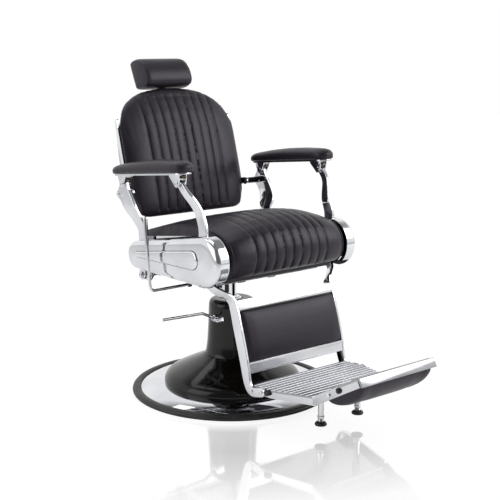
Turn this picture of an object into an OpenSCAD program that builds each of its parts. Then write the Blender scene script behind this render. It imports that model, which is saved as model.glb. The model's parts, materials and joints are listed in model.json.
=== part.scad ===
// Hydraulic barber chair: round pedestal, swivelling and lifting seat, reclining back with
// parallel arms, linked leg rest with a flip-over foot flap, and a sliding, tilting headrest.
// The chair faces -Y, +X is the sitter's left, and the origin is the base centre on the floor.

/* [Base] */
// Outside diameter of the base rim
base_d = 700; // [640:5:760]
// Width of the rubber rim seen from above
rim_w = 28; // [22:1:34]
// Height of the rubber rim
rim_h = 20; // [17:1:26]
// Height of the base disc's flat land, which the bell stands on
disc_z = 32; // [28:1:38]
// Diameter of the bell at its foot
bell_d = 476; // [430:2:500]
// Height of the joint between the fixed bell and the turning shroud
bell_top_z = 130; // [122:1:136]
// Sheet thickness of the bell and the shroud
shell_t = 4; // [3:0.5:5]

/* [Column] */
// Outside diameter of the shroud at mid height
shroud_d = 166; // [156:2:176]
// Height of the shroud's flat top
shroud_top_z = 326; // [316:1:340]
// Outside diameter of the pump cylinder
cylinder_d = 90; // [84:1:96]
// Diameter of the cylinder's turning spigot
spigot_d = 70; // [64:1:74]
// Diameter of the lifting ram
ram_d = 30; // [26:1:34]
// Diameter of the ram's piston
piston_d = 40; // [37:0.5:44]
// Radial clearance of every turning or sliding fit
fit_gap = 0.05; // [0.03:0.01:0.08]
// Diameter of the pump lever's rod
pump_rod_d = 10; // [8:0.5:12]
// Reach of the pump lever from the column's axis
pump_reach = 317; // [290:1:340]

/* [Seat] */
// Height of the cushion's underside
seat_z = 464; // [458:1:472]
// Half width of the seat cushion
seat_hw = 243; // [225:1:243]
// Thickness of the black-lacquered plywood seat pan
pan_t = 12; // [9:1:15]
// Pitch of the sewn channels on seat and back
channel_pitch = 37.4; // [32:0.2:40]
// Depth of the sewn channels
channel_depth = 3.5; // [2:0.5:5]
// Inner face of each side frame, measured from the centre
frame_x = 246; // [244:1:250]
// Thickness of the side frames
frame_t = 6; // [5:0.5:7]
// Radius of the side cover's front end
nose_r = 82; // [76:1:86]
// Radius of the side cover's rear end
tail_r = 48; // [44:1:52]
// Distance from the side cover's front centre to its rear centre
cover_len = 373; // [360:1:385]
// Height of the cover's domed face over its rim
dome_h = 21; // [16:1:25]
// Wall thickness of the side covers
cover_t = 2.5; // [2:0.5:3.5]

/* [Arms] */
// Centre of each arm, measured from the centre of the chair
arm_x = 301; // [296:1:308]
// Rise from the recline pivot to the rear arm pin
post_rise = 309; // [297:1:320]
// Rearward offset of the rear arm pin from the recline pivot
post_lean = 51; // [45:1:58]
// Distance from the rear arm pin to the front arm pin
arm_pin_run = 313; // [300:1:326]
// Rise from the rear arm pin to the front arm pin
arm_pin_rise = 32; // [26:1:38]
// Thickness of the four arm posts
post_t = 11; // [9:0.5:12]
// Forward bow of the front posts
front_bow = 54; // [46:1:60]
// Forward bow of the rear posts
rear_bow = 36; // [28:1:42]
// Diameter of the arm pins
arm_pin_d = 10; // [8:0.5:11]
// Width of the arm pads
pad_w = 80; // [70:1:88]
// Thickness of the arm pads
pad_t = 40; // [34:1:46]
// Height of the pad's underside over the arm pins
pad_lift = 33; // [30:1:40]

/* [Back] */
// Angle of the backrest from upright
back_tilt = 15.9; // [14:0.1:18]
// Height of the backrest cushion along its slope
back_h = 446; // [420:1:470]
// Half width of the backrest cushion
back_hw = 248; // [238:1:252]
// How far the backrest reclines from its upright position
recline_max = 42; // [30:1:42]
// Crown of the backrest cushion
back_crown = 32; // [24:1:38]
// Depth of the board behind the cushion
board_t = 30; // [24:1:34]
// Thickness of the chrome side rails
rail_t = 10; // [8:0.5:12]
// Width of the headrest pillow
head_w = 184; // [170:1:220]
// Thickness of the headrest's flat stem
stem_t = 8; // [6:0.5:10]
// Width of the headrest's flat stem
stem_w = 36; // [30:1:42]

/* [Leg rest] */
// Inner face of each leg bar, measured from the centre
leg_x = 201.5; // [190:0.5:208]
// Thickness of the leg bars
leg_t = 9; // [8:0.5:11]
// Drop from the leg pivot to the heel bolts
leg_drop = 330; // [315:1:340]
// Forward reach from the leg pivot to the heel bolts
leg_reach = 152; // [140:1:162]
// Length of the flat tread
tread_len = 231; // [218:1:242]
// Half width of the foot flap and its front bar
flap_hw = 160; // [150:1:168]
// Length of the foot flap from the bend to its front bar
flap_len = 220; // [208:1:228]
// Slope of the foot flap over the flat tread
flap_slope = 25.9; // [20:0.5:30]
// Pitch of the ribs on the treads
rib_pitch = 18.5; // [14:0.5:22]
// Height of the ribs on the treads
rib_h = 3; // [2:0.5:4]
// Distance between the two levelling feet
feet_gap = 160; // [130:2:190]

/* [Hidden] */

$fn = 64;
leather = "#3d3a3f";
chrome = "#d9dbde";
brushed = "#c9c8c6";
gloss_black = "#1a1816";
rubber = "#2b2a2b";
steel = "#8f9296";

// Space left between soft or curved faces that don't carry each other
seat_gap = 0.3;

// Base
base_r = base_d / 2;
rim_r = rim_h / 2;
disc_r = base_r - rim_w;
bell_r = bell_d / 2;
socket_r = spigot_d / 2 + 25;
flange_r = spigot_d / 2 + 75;
flange_t = 8;
shoulder_z = bell_top_z - 22;
spigot_z = disc_z + flange_t;
screw_ring = flange_r - 20;

// Column
shroud_r = shroud_d / 2;
ram_r = ram_d / 2;
piston_r = piston_d / 2;
bore_floor_z = 60;
piston_z = 95;
cylinder_top_z = shroud_top_z - shell_t * 2;
gland_r = 33;
shroud_profile = [
    [shroud_r + 12, bell_top_z + 1.5], [shroud_r + 7, bell_top_z + 18], [shroud_r + 2.5, 172],
    [shroud_r, 215], [shroud_r - 2, 255], [shroud_r - 3.5, shroud_top_z - 28],
    [shroud_r - 6.5, shroud_top_z - 11], [shroud_r - 12, shroud_top_z - 4.5],
    [shroud_r - 21, shroud_top_z - shell_t / 2], [gland_r + 1, shroud_top_z - shell_t / 2]];

// Pump lever
fulcrum_x = -(shroud_r + 13);
fulcrum_y = -30;
fulcrum_z = 272;
ear_t = 6;
lever_w = 12;
lever_pin_r = 4;
lever_bend = [fulcrum_x - 56, fulcrum_z + 27];

// Seat frame and lift
frame_h = 28;
pan_z = seat_z - seat_gap - pan_t;
member_z = pan_z - frame_h;
plate_t = 8;
rail_z = member_z - 12;
plate_z = rail_z - plate_t;
member_w = 30;
front_member_y = -165;
rear_member_y = 82;
rail_x0 = 50;
rail_x1 = 80;

// Pivots of the moving linkages, as [y, z]
recline_pivot = [144, seat_z - 44];
rear_pin = recline_pivot + [post_lean, post_rise];
front_pin = rear_pin + [-arm_pin_run, arm_pin_rise];
post_pivot = recline_pivot + [-arm_pin_run, arm_pin_rise];
leg_pivot = [post_pivot[0] - 35, post_pivot[1] + 1];
shaft_r = 10;
crank_len = 24;
crank_angle = recline_max / 2;
crank_pin = recline_pivot + crank_len * [sin(crank_angle), -cos(crank_angle)];
crank_pin_r = 4;
strut_x = -130;
strut_z = crank_pin[1] - 0.8;

// Layers of the linkages beside each side frame, measured outwards from the centre
frame_out = frame_x + frame_t;
ear_x = frame_out + 2 + leg_t / 2;
post_low_x = frame_out + leg_t + 4 + post_t / 2;
cover_rim = post_low_x + post_t / 2 + 7;
pin_r = 6;
collar_r = 9;

// Side covers, as [y, z] centres of their two ends
nose_c = [-223, seat_z + 59];
tail_c = nose_c + [cover_len, -33];

// Arms
arm_tilt = atan(arm_pin_rise / arm_pin_run);
arm_run = norm([arm_pin_run, arm_pin_rise]);
pin_head_r = 8;
cheek_x = 11.5;
cheek_t = 3.5;
open_pivot_gap = 0.25;
spacer_gap = 1.2;

// Backrest
back_foot = [222, seat_z + 143];
cushion_back = 10;
board_back = cushion_back + seat_gap + board_t;
board_hw = back_hw - rail_t - 1;
wrap_h = 34;
boss_s = 82;
boss_d = -12;
boss_x = back_hw + 8;
rail_top_s = 338;
stem_d = board_back + 13;
head_hinge = [board_back + 67, back_h + 62];
// height up the back of the clamp that holds the headrest's stem
clamp_s = back_h - 81;
head_lean = 9.3;
head_set = 16;
bracket_hw = 86;

// Leg rest
heel = leg_pivot + [-leg_reach, -leg_drop];
toe_bolt = heel + [-48, 8];
foot_edge = heel + [4, 17];
foot_tilt = 3.4;
tread_t = 5;
strip_h = 27;
rail_half = 2.5;
rail_mid_x = leg_x - rail_half;
bolt_r = 4;
flap_gap = 6;
flap_pivot = [-70.6, -13.2];
// distance from the flap's pivot to the wings that close over the side strips
wing_run = 52.4;
foot_boss_y = -537;
foot_boss_r = 13;
stem_r = 9;
foot_z = 33;
kink_y = toe_bolt[0] - 36;
side_t = 5;

// ---------------------------------------------------------------- helpers

function catmull(a, b, c, d, t) =
    0.5 * (2 * b + (c - a) * t + (2 * a - 5 * b + 4 * c - d) * t * t
        + (3 * b - a - 3 * c + d) * t * t * t);

// A smooth run through a few points, with n steps between each two
function smooth(p, n = 4) =
    let (last = len(p) - 1)
    concat([for (i = [0 : last - 1]) for (k = [0 : n - 1])
        catmull(p[max(i - 1, 0)], p[i], p[i + 1], p[min(i + 2, last)], k / n)], [p[last]]);

function heading(p, i) =
    let (a = p[max(i - 1, 0)], b = p[min(i + 1, len(p) - 1)], v = [b[0] - a[0], b[1] - a[1]])
    v / norm(v);

// The point beside station i of a path of [a, b, half width] triples
function beside(p, i, side) =
    let (t = heading(p, i))
    [p[i][0] - side * p[i][2] * t[1], p[i][1] + side * p[i][2] * t[0]];

function arc(c, r, from, sweep, n = 10) =
    [for (k = [1 : n - 1]) let (a = from + sweep * k / n) c + r * [cos(a), sin(a)]];
function end_arc(p, i, turn) =
    let (t = heading(p, i)) arc([p[i][0], p[i][1]], p[i][2], atan2(t[1], t[0]) + turn, -180);

// A strip that follows a path of [a, b, half width] triples, with round or square ends
module strip(path, n = 4, round_ends = false) {
    p = smooth(path, n);
    last = len(p) - 1;
    polygon(concat([for (i = [0 : last]) beside(p, i, 1)],
        round_ends ? end_arc(p, last, 90) : [],
        [for (i = [last : -1 : 0]) beside(p, i, -1)],
        round_ends ? end_arc(p, 0, -90) : []));
}

// The wall left between a path and the same path moved sideways
module wall(path, t, n = 4) {
    strip([for (q = path) [q[0], q[1], t / 2]], n);
}

// Two circles joined by their outer tangents
module belt(c1, r1, c2, r2) {
    run = norm(c2 - c1);
    turn = atan2(c2[1] - c1[1], c2[0] - c1[0]);
    lean = acos((r1 - r2) / run);
    translate(c1) circle(r1);
    translate(c2) circle(r2);
    polygon([
        c1 + r1 * [cos(turn + lean), sin(turn + lean)],
        c1 + r1 * [cos(turn - lean), sin(turn - lean)],
        c2 + r2 * [cos(turn - lean), sin(turn - lean)],
        c2 + r2 * [cos(turn + lean), sin(turn + lean)]]);
}

// The same outline as one many-sided polygon
module plate_belt(c1, r1, c2, r2, n = 20) {
    turn = atan2(c2[1] - c1[1], c2[0] - c1[0]);
    lean = acos((r1 - r2) / norm(c2 - c1));
    polygon(concat(
        [for (k = [0 : n]) let (a = turn + lean + (360 - 2 * lean) * k / n) c1 + r1 * [cos(a), sin(a)]],
        [for (k = [0 : n]) let (a = turn - lean + 2 * lean * k / n) c2 + r2 * [cos(a), sin(a)]]));
}

// Extrudes a [y, z] outline from x0 to x1
module yz(x0, x1) {
    translate([x0, 0, 0]) rotate([90, 0, 90]) linear_extrude(x1 - x0) children();
}

// Extrudes an [x, z] outline from y0 to y1
module xz(y0, y1) {
    translate([0, y1, 0]) rotate([90, 0, 0]) linear_extrude(y1 - y0) children();
}

// A round bar along X from x0 to x1 at the [y, z] place c
module bar_x(x0, x1, r, c) {
    translate([x0, c[0], c[1]]) rotate([0, 90, 0]) cylinder(h = x1 - x0, r = r);
}

// A round rod in the XZ plane, straight from a to b
module straight(a, b, r) {
    translate([a[0], 0, a[1]]) rotate([0, 90 - atan2(b[1] - a[1], b[0] - a[0]), 0])
        cylinder(h = norm(b - a), r = r);
}

// A round rod in the XZ plane from a to c that turns at b, at the radius bend
module crooked_rod(a, b, c, bend, r) {
    d1 = (b - a) / norm(b - a);
    d2 = (c - b) / norm(c - b);
    full = acos(d1 * d2);
    set_back = bend * tan(full / 2);
    inward = crook(d1, d2) * [-d1[1], d1[0]];
    hub = b - set_back * d1 + bend * inward;
    from = atan2(-inward[1], -inward[0]);
    straight(a, b - set_back * d1, r);
    straight(b + set_back * d2, c, r);
    translate([hub[0], 0, hub[1]]) rotate([90, 0, 0]) rotate(min(from, from + full * crook(d1, d2)))
        rotate_extrude(angle = full) translate([bend, 0]) circle(r);
}
function crook(d1, d2) = sign(d1[0] * d2[1] - d1[1] * d2[0]);

module right_side() {
    mirror([1, 0, 0]) children();
}

module both_sides() {
    children();
    mirror([1, 0, 0]) children();
}

// Skins a list of rings, each a list of points, into one closed solid
module loft(rings) {
    n = len(rings[0]);
    m = len(rings);
    polyhedron(concat([for (r = rings) each r], [middle(rings[0]), middle(rings[m - 1])]), concat(
        [for (j = [0 : m - 2]) for (i = [0 : n - 1])
            let (a = j * n + i, b = j * n + (i + 1) % n)
            each [[a, b, b + n], [a, b + n, a + n]]],
        [for (i = [0 : n - 1]) [m * n, (i + 1) % n, i]],
        [for (i = [0 : n - 1]) let (e = (m - 1) * n) [m * n + 1, e + i, e + (i + 1) % n]]));
}
function middle(ring) = [for (k = [0 : 2]) [for (q = ring) q[k]] * [for (q = ring) 1]] / len(ring);

function power(v, p) = sign(v) * pow(abs(v), p);

// How deep a sewn channel is drawn in at a distance x from the centre
function seam_dip(x) =
    let (k = min(4, max(-4, round(x / channel_pitch))), off = abs(x - k * channel_pitch))
    channel_depth * max(0, 1 - off / 5);

// Stations across a channelled cushion of half width hw
function half_stations(hw) =
    let (edge = 4 * channel_pitch)
    concat([for (k = [0 : 3]) each [0, 5, channel_pitch / 2, channel_pitch - 5] +
            k * channel_pitch * [1, 1, 1, 1]],
        [edge, edge + 5, edge + (hw - edge) * 0.4, edge + (hw - edge) * 0.7,
            hw - 9, hw - 3, hw]);
function stations(hw) =
    let (h = half_stations(hw), n = len(h))
    concat([for (i = [n - 1 : -1 : 1]) -h[i]], h);

// Places children in the backrest's slope: y is depth behind its face, z runs up the slope
module in_back() {
    translate([0, back_foot[0], back_foot[1]]) rotate([-back_tilt, 0, 0]) children();
}

// Places children in the left arm: the origin is the rear pin, -y runs forward along the arm
module in_arm() {
    translate([arm_x, rear_pin[0], rear_pin[1]]) rotate([-arm_tilt, 0, 0]) children();
}

// Places children on the flat tread: the origin is its rear edge, -y runs forward
module in_foot() {
    translate([0, foot_edge[0], foot_edge[1]]) rotate([-foot_tilt, 0, 0]) children();
}

// Places children on the sloping flap: the origin is the bend, -y runs forward
module in_flap() {
    in_foot() translate([0, -tread_len, 0]) rotate([-flap_slope, 0, 0]) children();
}

// ---------------------------------------------------------------- base

module base_rim() color(rubber) rotate_extrude($fn = 128) {
    translate([base_r - rim_r, rim_r]) circle(rim_r);
    translate([disc_r, 2]) square([rim_w - rim_r, rim_h - 5]);
    translate([base_r - rim_r - 6, 0]) square([12, rim_h / 2]);
}

function disc_top(r) =
    let (f = (r - bell_r - 6) / (disc_r - bell_r - 6))
    r < bell_r + 6 ? disc_z : disc_z - (disc_z - rim_h + 5) * f * f;

module base_disc() color(chrome) rotate_extrude($fn = 128)
    polygon(concat([[0, 0], [disc_r, 0]],
        [for (k = [8 : -1 : 0]) let (r = bell_r + 6 + (disc_r - bell_r - 6) * k / 8)
            [r, disc_top(r)]],
        [[0, disc_z]]));

module base_bell() color(gloss_black) rotate_extrude($fn = 128) {
    wall([
        [bell_r - shell_t / 2, disc_z + seat_gap], [bell_r - shell_t / 2, disc_z + 6],
        [bell_r - 5, disc_z + 19], [bell_r - 16, disc_z + 32], [bell_r - 38, disc_z + 46],
        [bell_r - 63, disc_z + 59], [bell_r - 88, disc_z + 71],
        [shroud_r + 42, bell_top_z - 17], [shroud_r + 25, bell_top_z - 9],
        [shroud_r + 14, bell_top_z - 1.5]], shell_t);
}

module base_socket() color(steel) difference() {
    union() {
        translate([0, 0, disc_z]) cylinder(h = flange_t, r = flange_r);
        translate([0, 0, disc_z]) cylinder(h = shoulder_z - disc_z - seat_gap, r = socket_r);
    }
    translate([0, 0, disc_z - 1]) cylinder(h = shoulder_z, r = spigot_d / 2 + fit_gap);
    for (a = [0 : 60 : 300]) rotate(a)
        translate([screw_ring, 0, disc_z - 1]) cylinder(h = flange_t + 2, r = 5.2);
}

module base_screws() color(steel) for (a = [0 : 60 : 300]) rotate(a)
    translate([screw_ring, 0, disc_z]) {
        cylinder(h = flange_t, r = 5);
        translate([0, 0, flange_t]) cylinder(h = 6, r = 9, $fn = 6);
    }

// ---------------------------------------------------------------- column

module pump_shroud() color(gloss_black) {
    rotate_extrude($fn = 128) wall(shroud_profile, shell_t);
    translate([0, 0, cylinder_top_z]) difference() {
        cylinder(h = shell_t * 2 - 1, r = gland_r + 9, $fn = 128);
        translate([0, 0, -1]) cylinder(h = shell_t * 2 + 1, r = gland_r + 1.5, $fn = 128);
    }
}

module pump_cylinder() color(steel) difference() {
    union() {
        translate([0, 0, shoulder_z])
            cylinder(h = cylinder_top_z - shoulder_z, r = cylinder_d / 2);
        translate([0, 0, spigot_z]) cylinder(h = shoulder_z - spigot_z, r = spigot_d / 2);
    }
    translate([0, 0, bore_floor_z])
        cylinder(h = cylinder_top_z, r = piston_r + fit_gap);
}

module ram_gland() color(chrome) difference() {
    union() {
        translate([0, 0, cylinder_top_z]) cylinder(h = shell_t * 2 + 1, r = gland_r);
        translate([0, 0, shroud_top_z + 1]) cylinder(h = 5, r = gland_r - 7);
        translate([0, 0, cylinder_top_z - 14]) cylinder(h = 14, r = piston_r - fit_gap);
    }
    translate([0, 0, cylinder_top_z - 20]) cylinder(h = 60, r = ram_r + fit_gap);
}

module shroud_body() {
    rotate_extrude($fn = 128) polygon(concat(
        [[0, bell_top_z]],
        [for (i = [0 : len(shroud_profile) - 1])
            let (p = [for (q = shroud_profile) [q[0], q[1], shell_t / 2]]) beside(p, i, -1)],
        [[0, shroud_top_z]]));
}

module lever_fulcrum() color(chrome) {
    difference() {
        union() for (s = [-1, 1]) translate([0, fulcrum_y + s * (lever_w + ear_t) / 2, 0])
            xz(-ear_t / 2, ear_t / 2) {
                translate([fulcrum_x, fulcrum_z]) circle(11);
                translate([fulcrum_x, fulcrum_z - 11]) square([40, 22]);
            }
        translate([0, fulcrum_y + 20, fulcrum_z]) translate([fulcrum_x, 0, 0])
            rotate([90, 0, 0]) cylinder(h = 40, r = lever_pin_r + 0.02);
        rotate_extrude($fn = 128) polygon(concat([[0, bell_top_z]],
            [for (q = smooth([for (q = shroud_profile) [q[0] + shell_t / 2, q[1]]])) q],
            [[0, shroud_top_z]]));
    }
    translate([fulcrum_x, fulcrum_y + lever_w / 2 + ear_t + 3, fulcrum_z])
        rotate([90, 0, 0]) {
            cylinder(h = lever_w + 2 * ear_t + 6, r = lever_pin_r);
            cylinder(h = 3, r = 6.5);
            translate([0, 0, lever_w + 2 * ear_t + 3]) cylinder(h = 3, r = 6.5);
        }
}

module pump_lever() color(chrome) translate([0, fulcrum_y, 0]) difference() {
    r = pump_rod_d / 2;
    tip = [-pump_reach + r + 0.6, lever_bend[1] + 5];
    union() {
        straight([fulcrum_x, fulcrum_z], lever_bend, r);
        straight(lever_bend, tip, r);
        for (c = [lever_bend, tip]) translate([c[0], 0, c[1]]) rotate(90) sphere(r + 0.6);
        translate([fulcrum_x, lever_w / 2 - seat_gap, fulcrum_z])
            rotate([90, 0, 0]) cylinder(h = lever_w - 2 * seat_gap, r = 9);
    }
    translate([fulcrum_x, lever_w, fulcrum_z])
        rotate([90, 0, 0]) cylinder(h = 2 * lever_w, r = lever_pin_r + fit_gap);
}

// ---------------------------------------------------------------- lift and seat frame

module lift_ram() color(chrome) {
    translate([0, 0, piston_z]) cylinder(h = plate_z - piston_z, r = ram_r);
    translate([0, 0, piston_z]) cylinder(h = 20, r = piston_r);
}

module top_plate() color(steel) difference() {
    union() {
        translate([-100, -85, plate_z]) cube([200, 170, plate_t]);
        translate([0, 0, plate_z - 16]) cylinder(h = 16, r = ram_r + 13);
    }
    translate([0, 0, plate_z - 20]) cylinder(h = 20, r = ram_r + 0.02);
}

module seat_rails() color(steel) both_sides()
    translate([rail_x0, front_member_y + member_w, rail_z])
        cube([rail_x1 - rail_x0, rear_member_y - front_member_y - member_w, pan_z - rail_z]);

module crossmembers() color(steel) for (y = [front_member_y, rear_member_y])
    translate([-frame_x, y, member_z]) cube([2 * frame_x, member_w, frame_h]);

module seat_pan() color(gloss_black) yz(-seat_hw + 18, seat_hw - 18)
    translate([-250, pan_z]) square([445, pan_t]);

// Outline of the cushion at its side edge, and how far its centre stands proud of that
seat_edge = [
    [195, 0, 0, 0], [200, 20, 3, 0], [200, 60, 3, 2], [186, 98, 2, 5], [155, 109, 0, 8],
    [90, 126, 0, 11], [26, 143, 0, 13], [-50, 152, 0, 20], [-120, 154, 0, 30],
    [-180, 149, -1, 35], [-225, 143, -3, 33], [-259, 135, -8, 26], [-283, 123, -12, 18],
    [-299, 105, -13, 10], [-308, 86, -12, 4], [-312, 63, -10, 0], [-308, 39, -8, 0],
    [-299, 17, -6, 0], [-281, 3, -3, 0], [-262, 0, 0, 0]];
seat_mid = [-60, 60];

function seat_ring(x) =
    let (f = abs(x) / seat_hw, crown = 1 - pow(f, 2.2), draw = 1 - 0.055 * pow(f, 14))
    [for (i = [0 : len(seat_edge) - 1])
        let (e = seat_edge[i],
            p = [e[0] + e[2] * crown, e[1] + e[3] * crown] - seat_mid,
            sewn = (i > 3 && i < 18) ? seam_dip(x) : 0,
            q = p * (draw - sewn / norm(p)) + seat_mid)
        [x, q[0], seat_z + max(0, q[1])]];

module seat_cushion() color(leather) loft([for (x = stations(seat_hw)) seat_ring(x)]);

module side_plate() {
    difference() {
        union() {
            plate_belt(nose_c + [6, 2], nose_r - 6, tail_c + [0, 4], tail_r + 8);
            plate_belt(recline_pivot, 24, recline_pivot + [-30, 60], 40);
            plate_belt(post_pivot, 15, post_pivot + [0, 40], 20);
            plate_belt(leg_pivot, 12.5, leg_pivot + [14, 26], 20);
        }
        polygon([leg_pivot + [-13, 15], leg_pivot + [-13, -40], leg_pivot + [-110, -40],
            leg_pivot + [-110, 15]]);
        translate(recline_pivot) circle(shaft_r + fit_gap);
        translate(post_pivot) circle(pin_r + 0.02);
        translate(leg_pivot) circle(pin_r + 0.02);
    }
}

module side_frame_left() color(chrome) yz(frame_x, frame_out) side_plate();
module side_frame_right() right_side() side_frame_left();

// One slice of the domed cover, drawn in by inset
module dome_slice(x, inset) {
    for (e = [[nose_c, nose_r], [tail_c, tail_r]])
        translate([x, e[0][0], e[0][1]]) rotate([0, 90, 0])
            cylinder(h = 0.02, r = max(e[1] - inset, 3), $fn = 48);
}

module dome(t) hull() for (k = [0 : 5]) {
    a = k * 18;
    dome_slice(cover_rim + (dome_h - t) * sin(a), 2 + t + (nose_r - 30) * (1 - cos(a)));
}

module side_cover_left() color(chrome) {
    difference() {
        yz(frame_out, cover_rim) belt(nose_c, nose_r, tail_c, tail_r);
        yz(frame_out - 1, cover_rim + 1)
            belt(nose_c, nose_r - cover_t, tail_c, tail_r - cover_t);
        // the arm posts swing through the open top and tail
        yz(frame_out - 1, cover_rim + 1) polygon([
            [post_pivot[0] - 52, nose_c[1]], [post_pivot[0] - 52, nose_c[1] + 100],
            [tail_c[0] + 80, nose_c[1] + 100], [tail_c[0] + 80, tail_c[1] - 70],
            [recline_pivot[0] - 32, tail_c[1] - 70], [recline_pivot[0] - 32, tail_c[1]]]);
        // the leg bars swing through the open front of the underside
        yz(frame_out - 1, cover_rim + 1) polygon([
            [nose_c[0] - 90, leg_pivot[1] + 16], [nose_c[0] - 90, leg_pivot[1] - 60],
            [post_pivot[0] + 20, leg_pivot[1] - 60], [post_pivot[0] + 20, leg_pivot[1] + 16]]);
    }
    difference() {
        union() {
            dome(0);
            hull() {
                translate([cover_rim + dome_h - 4, nose_c[0] + 46, nose_c[1] - 3])
                    scale([0.38, 1, 1]) sphere(31, $fn = 32);
                translate([cover_rim + dome_h - 7, tail_c[0] - 55, tail_c[1] + 14])
                    scale([0.5, 1, 1]) sphere(9, $fn = 16);
            }
        }
        difference() {
            dome(cover_t);
            translate([cover_rim + dome_h - cover_t, nose_c[0] - 100, 0]) cube([60, 600, 900]);
        }
        translate([cover_rim - 60, nose_c[0] - 100, 0]) cube([60, 600, 900]);
    }
}
module side_cover_right() right_side() side_cover_left();

module pivot_pins() color(steel) both_sides() {
    bar_x(frame_x, frame_out + leg_t + 2.3, pin_r, leg_pivot);
    bar_x(frame_out, frame_out + 1.7, collar_r, leg_pivot);
    bar_x(frame_out + leg_t + 2.3, frame_out + leg_t + 6, collar_r, leg_pivot);
    bar_x(frame_x, post_low_x + post_t / 2 + seat_gap, pin_r, post_pivot);
    bar_x(frame_out, post_low_x - post_t / 2 - seat_gap, collar_r, post_pivot);
    bar_x(post_low_x + post_t / 2 + seat_gap, post_low_x + post_t / 2 + 4, collar_r,
        post_pivot);
}

// ---------------------------------------------------------------- recline strut and lever

strut_front_y = front_member_y + member_w;
strut_rear_y = crank_pin[0] - 74;

module recline_cylinder() color(gloss_black) difference() {
    union() {
        translate([strut_x, strut_front_y + 12, strut_z]) rotate([-90, 0, 0])
            cylinder(h = strut_rear_y - strut_front_y - 12, r = 11);
        translate([strut_x - 9, strut_front_y, strut_z - 9])
            cube([18, 14, pan_z - strut_z + 9 - 0.0]);
        translate([strut_x - 9, strut_rear_y - 44, strut_z])
            cube([18, 14, pan_z - strut_z]);
    }
    translate([strut_x, strut_front_y + 40, strut_z]) rotate([-90, 0, 0])
        cylinder(h = 300, r = 5 + fit_gap);
}

module recline_rod() color(chrome) difference() {
    union() {
        translate([strut_x, strut_rear_y - 70, strut_z]) rotate([-90, 0, 0])
            cylinder(h = crank_pin[0] - strut_rear_y + 62, r = 5);
        translate([strut_x - 4, crank_pin[0] - 10, strut_z - 11]) cube([8, 20, 22]);
    }
    yz(strut_x - 5, strut_x + 5)
        belt([crank_pin[0], strut_z - 2.6], crank_pin_r + seat_gap,
            [crank_pin[0], strut_z + 2.6], crank_pin_r + seat_gap - 0.001);
}

module recline_shaft() color(steel) difference() {
    union() {
        bar_x(-post_low_x - post_t / 2, post_low_x + post_t / 2, shaft_r, recline_pivot);
        both_sides() bar_x(post_low_x + post_t / 2, post_low_x + post_t / 2 + 5, 12,
            recline_pivot);
        for (x = [strut_x - 12, strut_x + 6]) yz(x, x + 6)
            belt(recline_pivot, 15, crank_pin, 8);
        bar_x(strut_x - 14, strut_x + 14, crank_pin_r, crank_pin);
    }
}

lever_axis = [11, seat_z - 68];
lever_x = -333;
lever_in_x = -170;
lever_r = 5;
lever_lean = 5.5;
lever_h = 256;
bend_r = 18;

module recline_lever() color(chrome) translate([0, lever_axis[0], lever_axis[1]])
    rotate([-lever_lean, 0, 0])
        crooked_rod([lever_in_x, 0], [lever_x, 0], [lever_x, lever_h], bend_r, lever_r);

module lever_bracket() color(gloss_black) difference() {
    yz(lever_in_x - 8, lever_in_x) union() {
        translate(lever_axis) circle(9);
        translate([lever_axis[0] - 9, lever_axis[1]]) square([18, pan_z - lever_axis[1]]);
    }
    bar_x(lever_in_x - 20, lever_in_x + 20, lever_r + fit_gap, lever_axis);
}

module recline_grip() color(chrome) translate([lever_x, lever_axis[0], lever_axis[1]])
    rotate([-lever_lean, 0, 0]) difference() {
        union() {
            translate([0, 0, lever_h - 85]) cylinder(h = 87, r = 7.5);
            translate([0, 0, lever_h + 2]) sphere(7.5);
        }
        cylinder(h = lever_h + 0.02, r = lever_r + 0.02);
    }

// ---------------------------------------------------------------- backrest

// A path from one pivot to another, bowed forward: each entry is [share of the way, bow, half width]
function bowed(a, b, bow, shape) =
    let (v = b - a, n = [-v[1], v[0]] / norm(v))
    [for (s = shape) let (q = a + v * s[0] + n * bow * s[1]) [q[0], q[1], s[2]]];

rear_shape = [[0, 0, 17], [0.26, 0.4, 17], [0.55, 0.92, 19], [0.66, 1, 19], [0.78, 0.64, 18],
    [0.91, 0.12, 16], [1, 0, 13]];
front_shape = [[0, 0, 14], [0.24, 0.55, 17], [0.49, 1, 20], [0.67, 0.84, 18],
    [0.8, 0.66, 16], [0.9, 0.4, 14], [1, 0, 12]];
// Where the posts step outwards from the side frame to the arm: [share of the rise, share of the step]
rear_step = [[-0.1, 0], [0.34, 0], [0.5, 0.12], [0.6, 0.36], [0.68, 0.76], [0.78, 1], [1.1, 1]];
front_step = [[-0.1, 0], [0.5, 0], [0.68, 0], [0.76, 0.2], [0.82, 0.46], [0.9, 0.86], [0.97, 1],
    [1.1, 1]];

module post(foot, top, bow, shape, step) intersection() {
    yz(post_low_x - 20, arm_x + 20) strip(bowed(foot, top, bow, shape), 5, true);
    xz(foot[0] - 160, top[0] + 160) strip([for (s = step)
        [post_low_x + (arm_x - post_low_x) * s[1], foot[1] + (top[1] - foot[1]) * s[0],
            post_t / 2]], 5);
}

boss = back_foot + boss_s * [sin(back_tilt), cos(back_tilt)]
    + boss_d * [cos(back_tilt), -sin(back_tilt)];

module rear_post_left() color(chrome) difference() {
    union() {
        post(recline_pivot, rear_pin, rear_bow, rear_shape, rear_step);
        yz(arm_x - post_t / 2 + 0.2, arm_x + post_t / 2 - 0.2)
            plate_belt(rear_pin + [2, -2], 15, boss, 14);
    }
    bar_x(200, 340, shaft_r + 0.02, recline_pivot);
    bar_x(200, 340, arm_pin_d / 2 + fit_gap, rear_pin);
}
module rear_post_right() right_side() rear_post_left();

module back_bosses() color(gloss_black) both_sides()
    bar_x(boss_x, arm_x - post_t / 2 + 0.2, 11, boss);

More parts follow.
